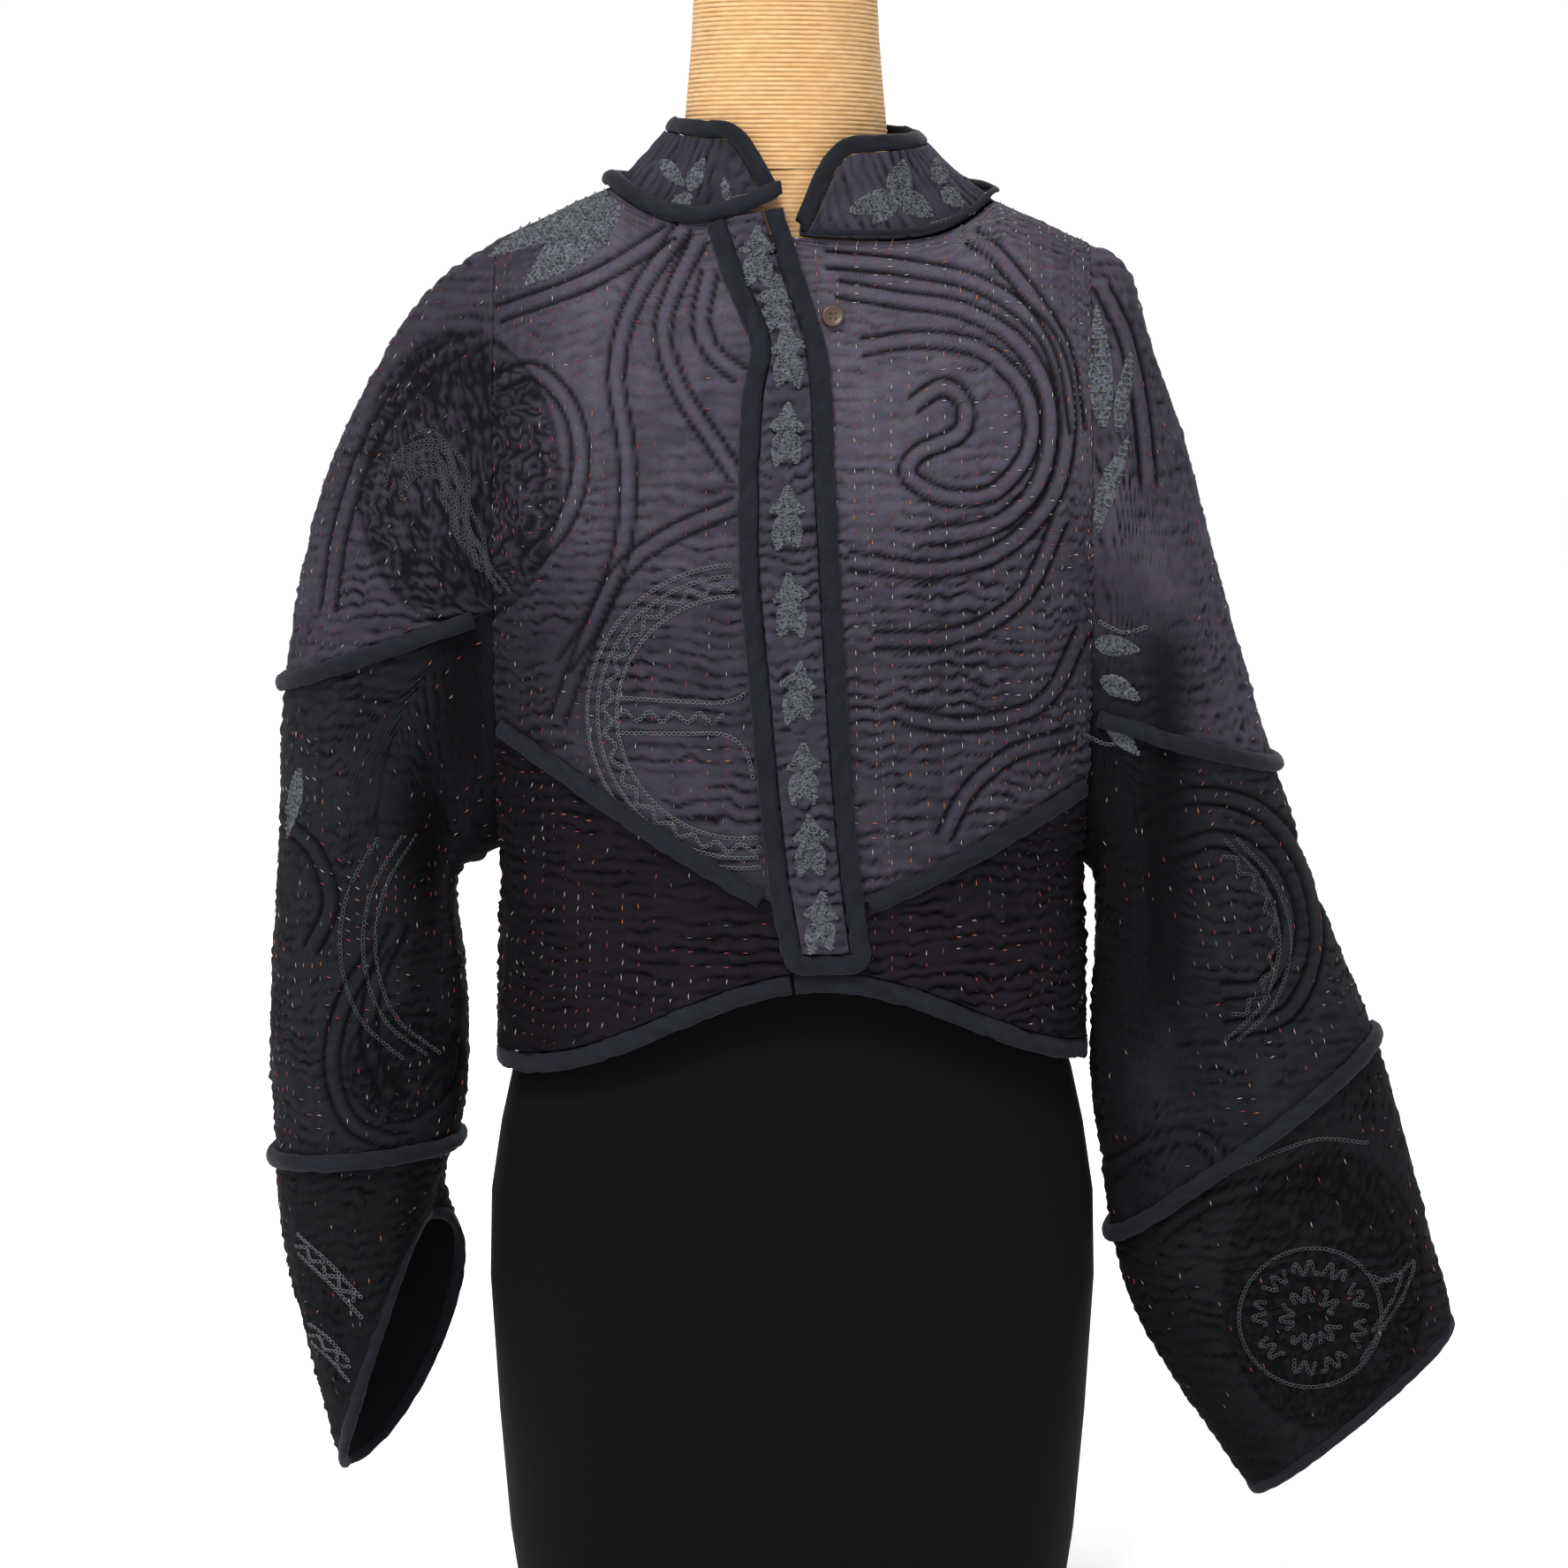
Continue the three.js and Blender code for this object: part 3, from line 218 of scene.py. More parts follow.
# woven cotton in three layers: dull, with a faint nap at its edges, painted shade in the quilted hollows read from
# the tint attribute, and faded patches
def cottonMaterial(name, look):
    material, tree, shader, place = newMaterial(name, {
        "Roughness": look["roughness"], "Sheen Weight": look["sheen"], "Sheen Roughness": 0.45,
        "Sheen Tint": toLinear(look["nap"]), "Specular IOR Level": 0.06})
    patches = addNode(tree, "ShaderNodeTexNoise",
                      {"Scale": 1000 / look["patchMm"], "Detail": 3.0, "Roughness": 0.55}, place)
    slubs = addNode(tree, "ShaderNodeTexNoise",
                    {"Scale": 1000 / look["slubMm"], "Detail": 2.0, "Roughness": 0.6}, place)
    tint = addNode(tree, "ShaderNodeAttribute", {"attribute_name": "tint"})
    # painted shade: the tint mixes the dark colour of the hollows into the colour of the ripples
    depth = addNode(tree, "ShaderNodeMix", {"data_type": "RGBA", mixLow: toLinear(look["hollow"]),
                                            mixHigh: toLinear(look["crest"])}, {"Factor": tint.outputs["Fac"]})
    # the cloth's own faded patches, at random
    fadeAndPaintedShade = addNode(tree, "ShaderNodeMix", {"data_type": "RGBA", "blend_type": "MULTIPLY",
                                           mixHigh: toLinear(look["faded"])},
                   {"Factor": patches.outputs["Fac"], mixLow: depth.outputs[mixOut]})
    fleck = addNode(tree, "ShaderNodeMix", {"data_type": "RGBA", "blend_type": "OVERLAY", "Factor": look["slub"]},
                    {mixLow: fadeAndPaintedShade.outputs[mixOut], mixHigh: slubs.outputs["Color"]})
    tree.links.new(fleck.outputs[mixOut], shader.inputs["Base Color"])
    # threads about 0.5 mm apart, drawn 0.9 mm apart so that they show
    weave = addNode(tree, "ShaderNodeTexNoise", {"Scale": 1000 / 0.9, "Detail": 1.0}, place)
    bump = addNode(tree, "ShaderNodeBump", {"Strength": look["weave"], "Distance": 0.0004},
                   {"Height": weave.outputs["Fac"]})
    tree.links.new(bump.outputs["Normal"], shader.inputs["Normal"])
    return material


# one even colour, with a fine grain in the surface where grainMm is given
def plainMaterial(name, colour, roughness, grainMm=0.0, grain=0.0, sheen=0.0, gloss=0.3):
    material, tree, shader, place = newMaterial(name, {
        "Base Color": toLinear(colour), "Roughness": roughness, "Sheen Weight": sheen,
        "Specular IOR Level": gloss}, grainMm > 0)
    if grainMm:
        noise = addNode(tree, "ShaderNodeTexNoise", {"Scale": 1000 / grainMm, "Detail": 2.0}, place)
        bump = addNode(tree, "ShaderNodeBump", {"Strength": grain, "Distance": 0.0005},
                       {"Height": noise.outputs["Fac"]})
        tree.links.new(bump.outputs["Normal"], shader.inputs["Normal"])
    return material


# leaves filled with loops of thread about 2 mm across, pale on a dark ground
def loopedMaterial(name, pale, dark, loopMm):
    material, tree, shader, place = newMaterial(name, {"Roughness": 0.9, "Specular IOR Level": 0.1})
    wander = addNode(tree, "ShaderNodeTexNoise", {"Scale": 1000 / (loopMm * 2.2), "Detail": 3.0, "Roughness": 0.7},
                     place)
    loops = addNode(tree, "ShaderNodeTexVoronoi", {"Scale": 1000 / loopMm}, place)
    sharp = addNode(tree, "ShaderNodeMapRange", {"From Min": 0.15, "From Max": 0.6},
                    {"Value": loops.outputs["Distance"]})
    patchy = addNode(tree, "ShaderNodeMapRange", {"From Min": 0.38, "From Max": 0.62, "To Min": 0.35},
                     {"Value": wander.outputs["Fac"]})
    both = addNode(tree, "ShaderNodeMath", {"operation": "MULTIPLY"},
                   {0: sharp.outputs["Result"], 1: patchy.outputs["Result"]})
    shade = addNode(tree, "ShaderNodeMix", {"data_type": "RGBA", mixLow: toLinear(dark), mixHigh: toLinear(pale)},
                    {"Factor": both.outputs["Value"]})
    tree.links.new(shade.outputs[mixOut], shader.inputs["Base Color"])
    bump = addNode(tree, "ShaderNodeBump", {"Strength": 0.8, "Distance": 0.0006}, {"Height": both.outputs["Value"]})
    tree.links.new(bump.outputs["Normal"], shader.inputs["Normal"])
    return material


clothLook = {"roughness": 0.92, "sheen": 0.03, "nap": "#8d8a94", "patchMm": 90, "slubMm": 3.0, "slub": 0.36,
             "weave": 0.8, "faded": "#cfd0e0"}
# each cloth's second colour is the painted shade of its hollows
dyesAndHollowShade = {  # name, colour of the ripples and colour of the hollows
    "upper": ("plumQuiltedCotton", "#4e4b54", "#111014"), "lower": ("darkQuiltedCotton", "#221e24", "#09070a"),
    "cap": ("capQuiltedCotton", "#413e46", "#0e0e12"), "sleeve": ("inkQuiltedCotton", "#212225", "#07070a"),
    "cuff": ("cuffQuiltedCotton", "#19191b", "#060608"), "collar": ("collarQuiltedCotton", "#3a3840", "#0e0e12"),
}
cottons = {key: cottonMaterial(name, {**clothLook, "crest": crest, "hollow": hollow})
           for key, (name, crest, hollow) in dyesAndHollowShade.items()}
# bias strips are pressed and taut, so they are smoother than the cloth and catch a little more light
cottons["binding"] = cottonMaterial("biasBindingCotton", {**clothLook, "crest": "#1d2025", "hollow": "#101115",
                                                          "slub": 0.12, "roughness": 0.8, "sheen": 0.2})
# spun cotton thread: soft, with no shine
threads = {
    "pale": plainMaterial("paleCottonThread", "#918e8c", 0.75),
    "red": plainMaterial("redCottonThread", "#7c3541", 0.75),
    "orange": plainMaterial("rustCottonThread", "#96603d", 0.75),
    "grey": plainMaterial("slateCottonThread", "#54585c", 0.8),
    "dim": plainMaterial("charcoalCottonThread", "#373a3e", 0.8),
    "dark": plainMaterial("darkCottonThread", "#151519", 0.85),
}


# the jacket's body, as in the part

wall, seamGap = 3.0, 0.3
panelNames = {"frontRight": "front_right", "frontLeft": "front_left", "back": "back"}
patternSeed = {"body": 11, "sleeve": 41, "band": 61, "collar": 81}
patternStart = {"frontRight": 0, "frontLeft": 400, "back": 900, "right": 1500, "left": 2200}  # so no two match
roundBody, roundSleeve = 150, 96  # mm of cloth for each radian of turn
shoulder = {"start": 690, "end": 850, "right": {"neck": 828, "tip": 798}, "left": {"neck": 820, "tip": 796}}
body = {"side": 168, "underarm": 450, "armholeDepth": 58,
        "table": {"z": [320, 380, 430, 500, 560, 620, 700, 760, 850],
                  "half": [171, 169.5, 168, 168, 168, 168, 168, 168, 168],
                  "front": [120, 115, 113, 121, 128, 122, 98, 84, 68],
                  "back": [112, 105, 100, 101, 104, 106, 98, 88, 62]}}
neck = {"x": 6, "half": 109, "front": 72, "back": 70, "backZ": 828}
hem = {"side": 331, "rise": 56, "centre": 16, "reach": 184, "backRise": 4, "binding": 11}


def neckReach(x):
    return np.sqrt(np.maximum(0, 1 - ((x - neck["x"]) / neck["half"]) ** 2))


# height of a panel's top edge
def topEdge(panel, x):
    right = x < neck["x"]
    neckZ = np.where(right, shoulder["right"]["neck"], shoulder["left"]["neck"])
    tipZ = np.where(right, shoulder["right"]["tip"], shoulder["left"]["tip"])
    neckPoint = np.abs(neck["x"] + np.where(right, -neck["half"], neck["half"]))
    seam = neckZ + (tipZ - neckZ) * (np.abs(x) - neckPoint) / (body["side"] - neckPoint)
    if panel == "back":
        edge = neckZ + (neck["backZ"] - neckZ) * neckReach(x)
    elif panel == "frontRight":
        out = 807 + 21 * (np.maximum(-55 - x, 0) / 48) ** 2
        edge = np.where(x < -55, out, np.minimum(822, 807 + 15 * ((x + 55) / 48) ** 2))
    else:
        edge = np.where(x > 42, 796 + 24 * (np.maximum(x - 42, 0) / 73) ** 3, 796 + 2 * ((42 - x) / 40) ** 2)
    return np.where(np.abs(x - neck["x"]) >= neck["half"], seam, edge)  # shoulder seam, or neck edge


# angle runs from -pi/2 at the wearer's right side to pi/2 at the left; reach is the height, or above the
# chest a measure that grows along the cloth to its top edge
def bodyPoint(panel, angle, reach):
    angle, reach = np.broadcast_arrays(np.asarray(angle, float), np.asarray(reach, float))
    turn = np.clip((reach - shoulder["start"]) / (shoulder["end"] - shoulder["start"]), 0, 1) * np.pi / 2
    x = readTable(body["table"], "half", reach) * np.sin(angle)
    top = topEdge(panel, x)
    z = np.where(reach <= shoulder["start"], reach, shoulder["start"] + (top - shoulder["start"]) * np.sin(turn))
    topY = neck["back" if panel == "back" else "front"] * neckReach(x)
    depth = readTable(body["table"], "back" if panel == "back" else "front", z)
    middle = topY + (depth - topY) * np.maximum(0, np.cos(turn)) ** 1.2
    power = 1 + 0.9 * smoothStep(z, body["underarm"], 680)
    across = np.maximum(0, np.cos(angle)) ** power
    spread = 1 + 1.6 * (1 - smoothStep(z, body["underarm"], 620))
    rise = np.clip((z - body["underarm"]) / (top - body["underarm"]), 0, 1)
    edge = body["armholeDepth"] * np.maximum(0, np.sin(np.arccos(2 * rise - 1))) ** 0.9 * (1 - across) ** spread
    facing = 1 if panel == "back" else -1
    return np.stack([x, facing * (seamGap / 2 + edge + middle * across), z], -1)


# the way out of the cloth; near the neck it is read a little lower, where the cloth still lies round
def bodyNormal(panel, angle, at):
    angle, at = np.broadcast_arrays(np.asarray(angle, float), np.asarray(at, float))
    pull = 16 * np.minimum(1, 1.5 * neckReach(readTable(body["table"], "half", at) * np.sin(angle)))
    reach = np.minimum(at, shoulder["end"] - pull)
    a0, a1 = (np.clip(angle + step, -np.pi / 2, np.pi / 2) for step in (-0.012, 0.012))
    along = bodyPoint(panel, a1, reach) - bodyPoint(panel, a0, reach)
    up = (bodyPoint(panel, angle, np.minimum(reach + 1, shoulder["end"]))
          - bodyPoint(panel, angle, np.minimum(reach - 1, shoulder["end"] - 2)))
    return unit(np.cross(along, up) * (-1 if panel == "back" else 1))


def angleAt(x, reach):
    return np.arcsin(np.clip(x / readTable(body["table"], "half", reach), -1, 1))


# points at front-view places x, z, lifted off the cloth, and the way out there
def onBody(panel, x, z, lift):
    x, z = np.broadcast_arrays(np.asarray(x, float), np.asarray(z, float))
    over = np.clip((z - shoulder["start"]) / (topEdge(panel, x) - shoulder["start"]), 0, 1)
    stretch = shoulder["start"] + (shoulder["end"] - shoulder["start"]) * np.arcsin(over) / (np.pi / 2)
    reach = np.where(z <= shoulder["start"], z, stretch)
    angle = angleAt(x, reach)
    normal = bodyNormal(panel, angle, reach)
    return bodyPoint(panel, angle, reach) + normal * np.asarray(lift)[..., None], normal


def waistSeam(panel, x):
    if panel == "frontRight":
        return 430 + 97 * (np.abs(np.minimum(x + 9, 0)) / 159) ** 1.05
    if panel == "frontLeft":
        return 431 + 61 * (np.maximum(x - 43, 0) / 125) ** 1.1
    far = np.hypot(x, 18) - 18
    return 436 + np.where(x < 0, 91, 56) * far / (np.hypot(body["side"], 18) - 18)


def hemLine(panel, x):
    if panel == "back":
        return hem["side"] + hem["backRise"] * np.cos(x / body["side"] * np.pi / 2)
    away = np.clip(np.abs(x - hem["centre"]) / hem["reach"], 0, 1)
    return hem["side"] + hem["rise"] * (1 + np.cos(np.pi * away)) / 2


bandEdge = {"z": [397, 445, 500, 560, 619, 676, 710, 740, 775, 812],
            "right": [0, -8, -14, -19, -24, -24, -22, -18, -32, -44],
            "left": [38, 32, 27, 23, 20, 17, 16, 12, 1, -10]}


# the angles between which a panel lies at each reach
def panelSpan(panel, reach):
    if panel == "back":
        return np.full_like(reach, -np.pi / 2), np.full_like(reach, np.pi / 2)
    inner = np.full_like(reach, -0.1)
    for _ in range(4):
        middle = readTable(bandEdge, "right", bodyPoint(panel, inner, reach)[..., 2])
        inner = angleAt(middle + (-1 if panel == "frontRight" else 1), reach)
    side = np.full_like(reach, np.pi / 2)
    return (-side, inner) if panel == "frontRight" else (inner, side)


# quilting: running stitches pull the cloth down into troughs, and it stands in ripples between them

quilting = {"pitch": 7.6, "wander": 3.6, "height": 1.5, "pucker": 0.5, "channelHalf": 4.7, "channelDepth": 2.0,
            "channelWidth": 1.35, "meander": 12.0, "meanderDepth": 1.5}


# how far a row of stitches strays
def rowWander(s, t, seed):
    return (quilting["wander"] * softNoise(s / 34, t / 46, seed)
            + 0.45 * quilting["wander"] * softNoise(s / 13, t / 19, seed + 1))


# how far the cloth stands out at cloth coordinates s, t, and its tint: painted shade that is dark in the hollows and
# light on the ripples, over random faded patches
def quiltRelief(s, t, strength, seed):
    shiver = 2.1 * softNoise(s / 6.5, t / 9, seed + 12) + 1.0 * softNoise(s / 3.2, t / 6, seed + 13)
    phase = (t - rowWander(s, t, seed) + shiver) / quilting["pitch"]
    ridge = np.abs(np.sin(np.pi * phase)) ** 0.6
    bite = 0.75 + 0.25 * np.cos(2 * np.pi * (s + 3 * softNoise(s / 20, t / 8, seed + 3)) / 8.5)
    lumps = 0.5 * softNoise(s / 7, t / 5, seed + 2) + 0.7 * softNoise(s / 15, t / 3.6, seed + 6)
    size = strength * np.clip(0.75 + 0.6 * softNoise(s / 26, t / 16, seed + 4)
                              + 0.75 * softNoise(s / 9, t / 7, seed + 5), 0.05, 1.7)
    high = quilting["height"] * size * (2 * ridge - 1) * bite + quilting["pucker"] * lumps * (0.5 + size / 2)
    faded = 0.14 * softNoise(s / 55, t / 45, seed + 14) + 0.1 * softNoise(s / 4, t / 60, seed + 15)
    return high, np.clip(0.7 - 0.95 * size * (1 - ridge) ** 1.2 + 0.2 * lumps + 0.22 * ridge * size + faded, 0, 1)


# distance from flat points to a line; past the line's two ends it counts as far off
def distanceTo(points, line):
    best = np.full(len(points), 1e9)
    for a, b in zip(line[:-1], line[1:]):
        near = np.flatnonzero((np.abs(points[:, 0] - a[0]) < 24) & (np.abs(points[:, 1] - a[1]) < 24))
        if not len(near):
            continue
        ab = b - a
        t = np.clip(((points[near] - a) @ ab) / max(ab @ ab, 1e-9), 0, 1)
        gap = np.linalg.norm(points[near] - a - t[:, None] * ab, axis=1)
        best[near] = np.minimum(best[near], gap)
    for end, inward in ((line[0], line[1] - line[0]), (line[-1], line[-2] - line[-1])):
        past = ((points - end) @ inward < 0) & (np.linalg.norm(points - end, axis=1) < 14)
        best[past] = 1e9
    return best


# two sewn grooves with a puffed channel between them, along each line, with painted shade in the grooves and a little
# painted light on the channel
def channelRelief(flat, lines):
    high, shade = np.zeros(len(flat)), np.zeros(len(flat))
    calm = np.ones(len(flat))
    for line in lines:
        gap = distanceTo(flat, line)
        groove = np.exp(-((gap - quilting["channelHalf"]) / quilting["channelWidth"]) ** 2)
        puff = np.exp(-(gap / 4.0) ** 2)
        high += -quilting["channelDepth"] * groove + 0.7 * puff
        shade += -0.9 * groove + 0.1 * puff
        calm *= 1 - 0.62 * np.exp(-(np.minimum(gap, 99) / 7.0) ** 4)
    return high, shade, calm


# close wandering quilting inside a medallion, with painted shade over the inside, deepest between its tracks, and
# along its sewn rim
def meanderRelief(flat, medallions):
    high, shade, calm = np.zeros(len(flat)), np.zeros(len(flat)), np.ones(len(flat))
    size = quilting["meander"]
    for k, (x, z, radius, tall) in enumerate(medallions):
        reach = np.hypot(flat[:, 0] - x, (flat[:, 1] - z) / tall)
        inside = 1 - smoothStep(reach, radius - 3, radius + 1)
        rim = np.exp(-((reach - radius - 1) / 1.4) ** 2)
        bend = softNoise(flat[:, 0] / size, flat[:, 1] / size, 51 + k) \
            + 0.5 * softNoise(flat[:, 0] / 5.5, flat[:, 1] / 5.5, 61 + k)
        track = np.abs(np.sin(1.7 * np.pi * bend + 0.4 * np.sin(flat[:, 0] / 5)))
        high += inside * quilting["meanderDepth"] * (2 * track ** 0.6 - 1.2) * 0.6 - quilting["channelDepth"] * rim
        shade += inside * (0.35 * track - 0.62 * (1 - track) ** 1.2 - 0.56) - 0.5 * rim
        calm *= 1 - 0.9 * inside
    return high, shade, calm


# everything that the needle does to the cloth, at flat places and cloth coordinates s and t: its height, and a tint
# that carries the painted shade of the hollows, grooves and medallions
def sewnRelief(flat, s, t, strength, seed, lines, medallions):
    high, shade = quiltRelief(s, t, strength, seed)
    shape = np.shape(high)
    groove, dark, calm = (a.reshape(shape) for a in channelRelief(flat, [smoothLine(line) for line in lines]))
    deep, dim, still = (a.reshape(shape) for a in meanderRelief(flat, medallions))
    return high * calm * still + groove + deep, shade * calm + 0.72 * (1 - calm) + dark + dim


# the double lines sewn on the body, as front views of x and height

spiral = [(66, 706), (84, 716), (96, 705), (92, 690), (70, 680), (64, 668), (84, 656), (112, 658), (132, 682),
          (130, 712), (106, 736), (72, 742), (38, 738)]
bodyChannels = {
    "frontRight": [
        [(-60, 806), (-88, 764), (-98, 724), (-92, 678), (-94, 630), (-110, 588), (-128, 560)],
        [(-52, 798), (-66, 770), (-72, 745), (-62, 714), (-42, 684), (-30, 666)],
        [(-46, 780), (-51, 752), (-44, 735), (-28, 722)],
        [(-68, 802), (-112, 776), (-166, 756)],
        [(-30, 652), (-70, 634), (-98, 610), (-118, 566), (-132, 530)],
        [(-165, 718), (-144, 724), (-124, 704), (-118, 672), (-128, 640), (-150, 616)],
    ],
    "frontLeft": [
        spiral,
        [(18, 786), (62, 782), (106, 772), (142, 744), (154, 700), (146, 656), (116, 626), (76, 616), (30, 622)],
        [(24, 770), (60, 764), (96, 758), (128, 738), (144, 704), (138, 664), (112, 640), (74, 634)],
        [(150, 642), (128, 600), (92, 580), (44, 578)],
        [(164, 580), (140, 540), (96, 530), (60, 536)],
        [(160, 520), (124, 512), (98, 492), (84, 466)],
        [(100, 800), (118, 786), (150, 740), (160, 690)],
    ],
    "back": [
        [(sign * x, z) for x, z in line]
        for sign in (1, -1)
        for line in ([(20, 806), (52, 770), (96, 752), (132, 722), (138, 676), (112, 640), (74, 640), (58, 664),
                      (74, 688), (100, 682)],
                     [(12, 700), (26, 650), (52, 604), (96, 582), (140, 584), (164, 560)],
                     [(30, 560), (62, 530), (104, 522), (150, 536)])
    ],
}


# centre and radius of the close-quilted medallions
medallions = {"front": [(-187, 664, 56, 1.42)], "back": [(150, 660, 42, 1), (-60, 640, 46, 1)],
              "sleeve": [(-187, 664, 56, 1.42), (306, 199, 57, 1.38), (-222, 330, 30, 1)]}


# strength of the ripples at the shoulder, what is added low down, and the heights between
panelRipple = {"frontRight": (0.32, 0.78, 560, 690), "frontLeft": (0.42, 0.7, 590, 700),
               "back": (0.32, 0.78, 560, 690)}


# angle, reach and distance to the waist seam at a panel's across and up shares
def panelPlace(panel, part, across, up):
    shape = np.broadcast_shapes(np.shape(across), np.shape(up))
    across, up = np.broadcast_to(across, shape), np.broadcast_to(up, shape)
    reach = np.full(shape, 500.0)
    edge = hem["binding"] / 2 + 3 * seamGap
    for _ in range(4):
        start, end = panelSpan(panel, reach)
        angle = start + (end - start) * across
        flatX = body["side"] * np.sin(angle)
        seam = waistSeam(panel, flatX) + (seamGap if part == "upper" else -seamGap)
        low = hemLine(panel, flatX) + edge
        reach = seam + (shoulder["end"] - seam) * up if part == "upper" else low + (seam - low) * up
    return angle, reach, np.abs(reach - seam)


def panelRelief(panel, angle, reach, room, across, up):
    point, normal = bodyPoint(panel, angle, reach), bodyNormal(panel, angle, reach)
    s = roundBody * angle + patternStart[panel]
    flat = point[..., [0, 2]].reshape(-1, 2)
    calm, added, foot, head = panelRipple[panel]
    strength = calm + added * (1 - smoothStep(reach, foot, head))
    high, shade = sewnRelief(flat, s, reach, strength, patternSeed["body"], bodyChannels[panel],
                             medallions["back" if panel == "back" else "front"])
    edges = smoothStep(np.minimum(across, 1 - across), 0, 0.02) * smoothStep(1 - up, 0, 0.02)
    dip = smoothStep(room, 4.5, 9) * edges
    # painted shade: the cloth is darker low on the chest and towards the sides, most of all on the wearer's right
    x, z = point[..., 0], point[..., 2]
    low = 1 - smoothStep(z, 560, 690)
    sides = 1 - 0.25 * smoothStep(np.abs(x), 110, 168) - 0.42 * smoothStep(-x, 50, 150) * low
    right = 1 - 0.14 * smoothStep(-x, -20, 30) - 0.26 * smoothStep(-x, 110, 168) * (1 - low)
    fadeAndPaintedShade = sides * (1 - 0.42 * low) * right
    return point, normal, high * dip, np.clip(shade * fadeAndPaintedShade, 0, 1)


# rows or columns kept for the plainer inner side: every fourth, and the last
def everyFourth(last):
    return list(range(0, last, 4)) + [last]


def makeBody():
    sizes = {"frontRight": (84, 232, 92), "frontLeft": (104, 236, 84), "back": (170, 214, 84)}
    for panel, (columns, upperRows, lowerRows) in sizes.items():
        for part, rows in (("upper", upperRows), ("lower", lowerRows)):
            across, up = np.meshgrid(np.linspace(0, 1, columns + 1), np.linspace(0, 1, rows + 1))
            angle, reach, room = panelPlace(panel, part, across, up)
            point, normal, high, shade = panelRelief(panel, angle, reach, room, across, up)
            outer = point + normal * high[..., None]
            inner = (point - normal * wall)[everyFourth(rows)][:, ::4]
            name = panelNames[panel] + "_" + part
            piece = wallMesh(name + "_cloth", outer, inner, False, shade, material=cottons[part],
                             slot="quilted_cotton_chest" if part == "upper" else "quilted_cotton_lower",
                             replaces=[name])
            cloth[name] = {"piece": piece, "outer": outer}
            print("sewn", name, len(piece.data.polygons))


makeBody()


# the sleeves, as in the part

sleeveKeys = ["ox", "oz", "ix", "iz", "mid", "front", "back", "fx", "bx", "trough", "at"]
sleeves = {
    "right": {
        "sign": -1, "capTo": 0.16, "fold": {"x": -186, "width": 22, "foot": (440, 520), "head": (574, 590)},
        "rows": [
            [168, 798, 168, 450, 0, 58, 58, 0, 0, 0, 120],
            [205, 771, 175, 447, 0, 63, 60, 0, 0, 3, 122],
            [232, 734, 180, 444, 0, 65, 62, 0, 0, 8, 126],
            [259, 683, 186, 442, 0, 65, 63, 0, 0, 16, 132],
            [275, 633, 191, 438, 0, 64, 63, 0, 0, 22, 136],
            [291, 546, 195, 424, 0, 62, 62, 0, 0, 22, 138],
            [296, 450, 191, 390, 0, 60, 60, 0, 0, 14, 138],
            [302, 350, 188, 340, 0, 60, 60, 0, 0, 6, 132],
            [300, 290, 192, 292, -2, 58, 58, 0, 0, 3, 124],
            [294, 220, 203, 262, -4, 54, 56, -4, 4, 0, 120],
            [262, 92, 209, 238, -6, 46, 48, -8, 28, 0, 120],
        ],
        "seams": [{"x": 290, "z": 546, "slope": -0.36, "least": 0, "most": 6.5},
                  {"x": 287, "z": 250, "slope": 0.5, "least": 7, "most": 8.3}],
    },
    "left": {
        "sign": 1, "capTo": 0.16, "fold": {"x": 209, "width": 21, "foot": (318, 380), "head": (560, 610)},
        "rows": [
            [168, 796, 168, 450, 0, 58, 58, 0, 0, 0, 110],
            [190, 782, 173, 442, 0, 63, 60, 0, 0, 4, 108],
            [206, 734, 177, 437, 0, 67, 62, 0, 0, 8, 106],
            [224, 683, 180, 430, 0, 70, 63, 0, 0, 12, 104],
            [241, 620, 181, 418, 0, 72, 64, 0, 0, 15, 104],
            [267, 530, 181, 392, 0, 71, 64, 0, 0, 16, 106],
            [302, 428, 179, 350, 0, 66, 62, 0, 0, 12, 112],
            [342, 326, 179, 292, -2, 58, 58, 0, 0, 6, 116],
            [371, 224, 187, 222, -4, 50, 52, 0, 0, 2, 120],
            [379, 198, 207, 165, -6, 46, 48, 0, 0, 0, 120],
            [384, 176, 266, 76, -8, 40, 42, 0, 0, 0, 120],
        ],
        "seams": [{"x": 277, "z": 499, "slope": -0.29, "least": 0, "most": 6.5},
                  {"x": 335, "z": 341, "slope": 0.78, "least": 6.2, "most": 9}],
    },
}
for sleeve in sleeves.values():
    sleeve["table"] = {key: [row[k] for row in sleeve["rows"]] for k, key in enumerate(sleeveKeys)}
    sleeve["table"]["index"] = list(range(len(sleeve["rows"])))
    sleeve["last"] = len(sleeve["rows"]) - 1


def sleevePoint(side, turn, station):
    sleeve = sleeves[side]
    turn, station = np.broadcast_arrays(np.asarray(turn, float), np.asarray(station, float))
    read = {key: readTable(sleeve["table"], key, station, "index") for key in sleeveKeys}
    swing = np.sin(turn)
    reach = np.abs(swing) ** 0.9
    front = swing > 0
    fold = np.where(front, read["trough"] * np.exp(-((np.degrees(turn) - read["at"]) / 17) ** 2), 0)
    depth = np.where(front, read["front"], read["back"]) * reach - fold
    share = (1 + np.cos(turn)) / 2
    shift = np.where(front, read["fx"], -read["bx"]) * reach
    x = sleeve["sign"] * (read["ix"] + (read["ox"] - read["ix"]) * share - shift * np.where(front, 1, -1))
    return np.stack([x, read["mid"] + np.where(front, -depth, depth),
                     read["iz"] + (read["oz"] - read["iz"]) * share], -1)


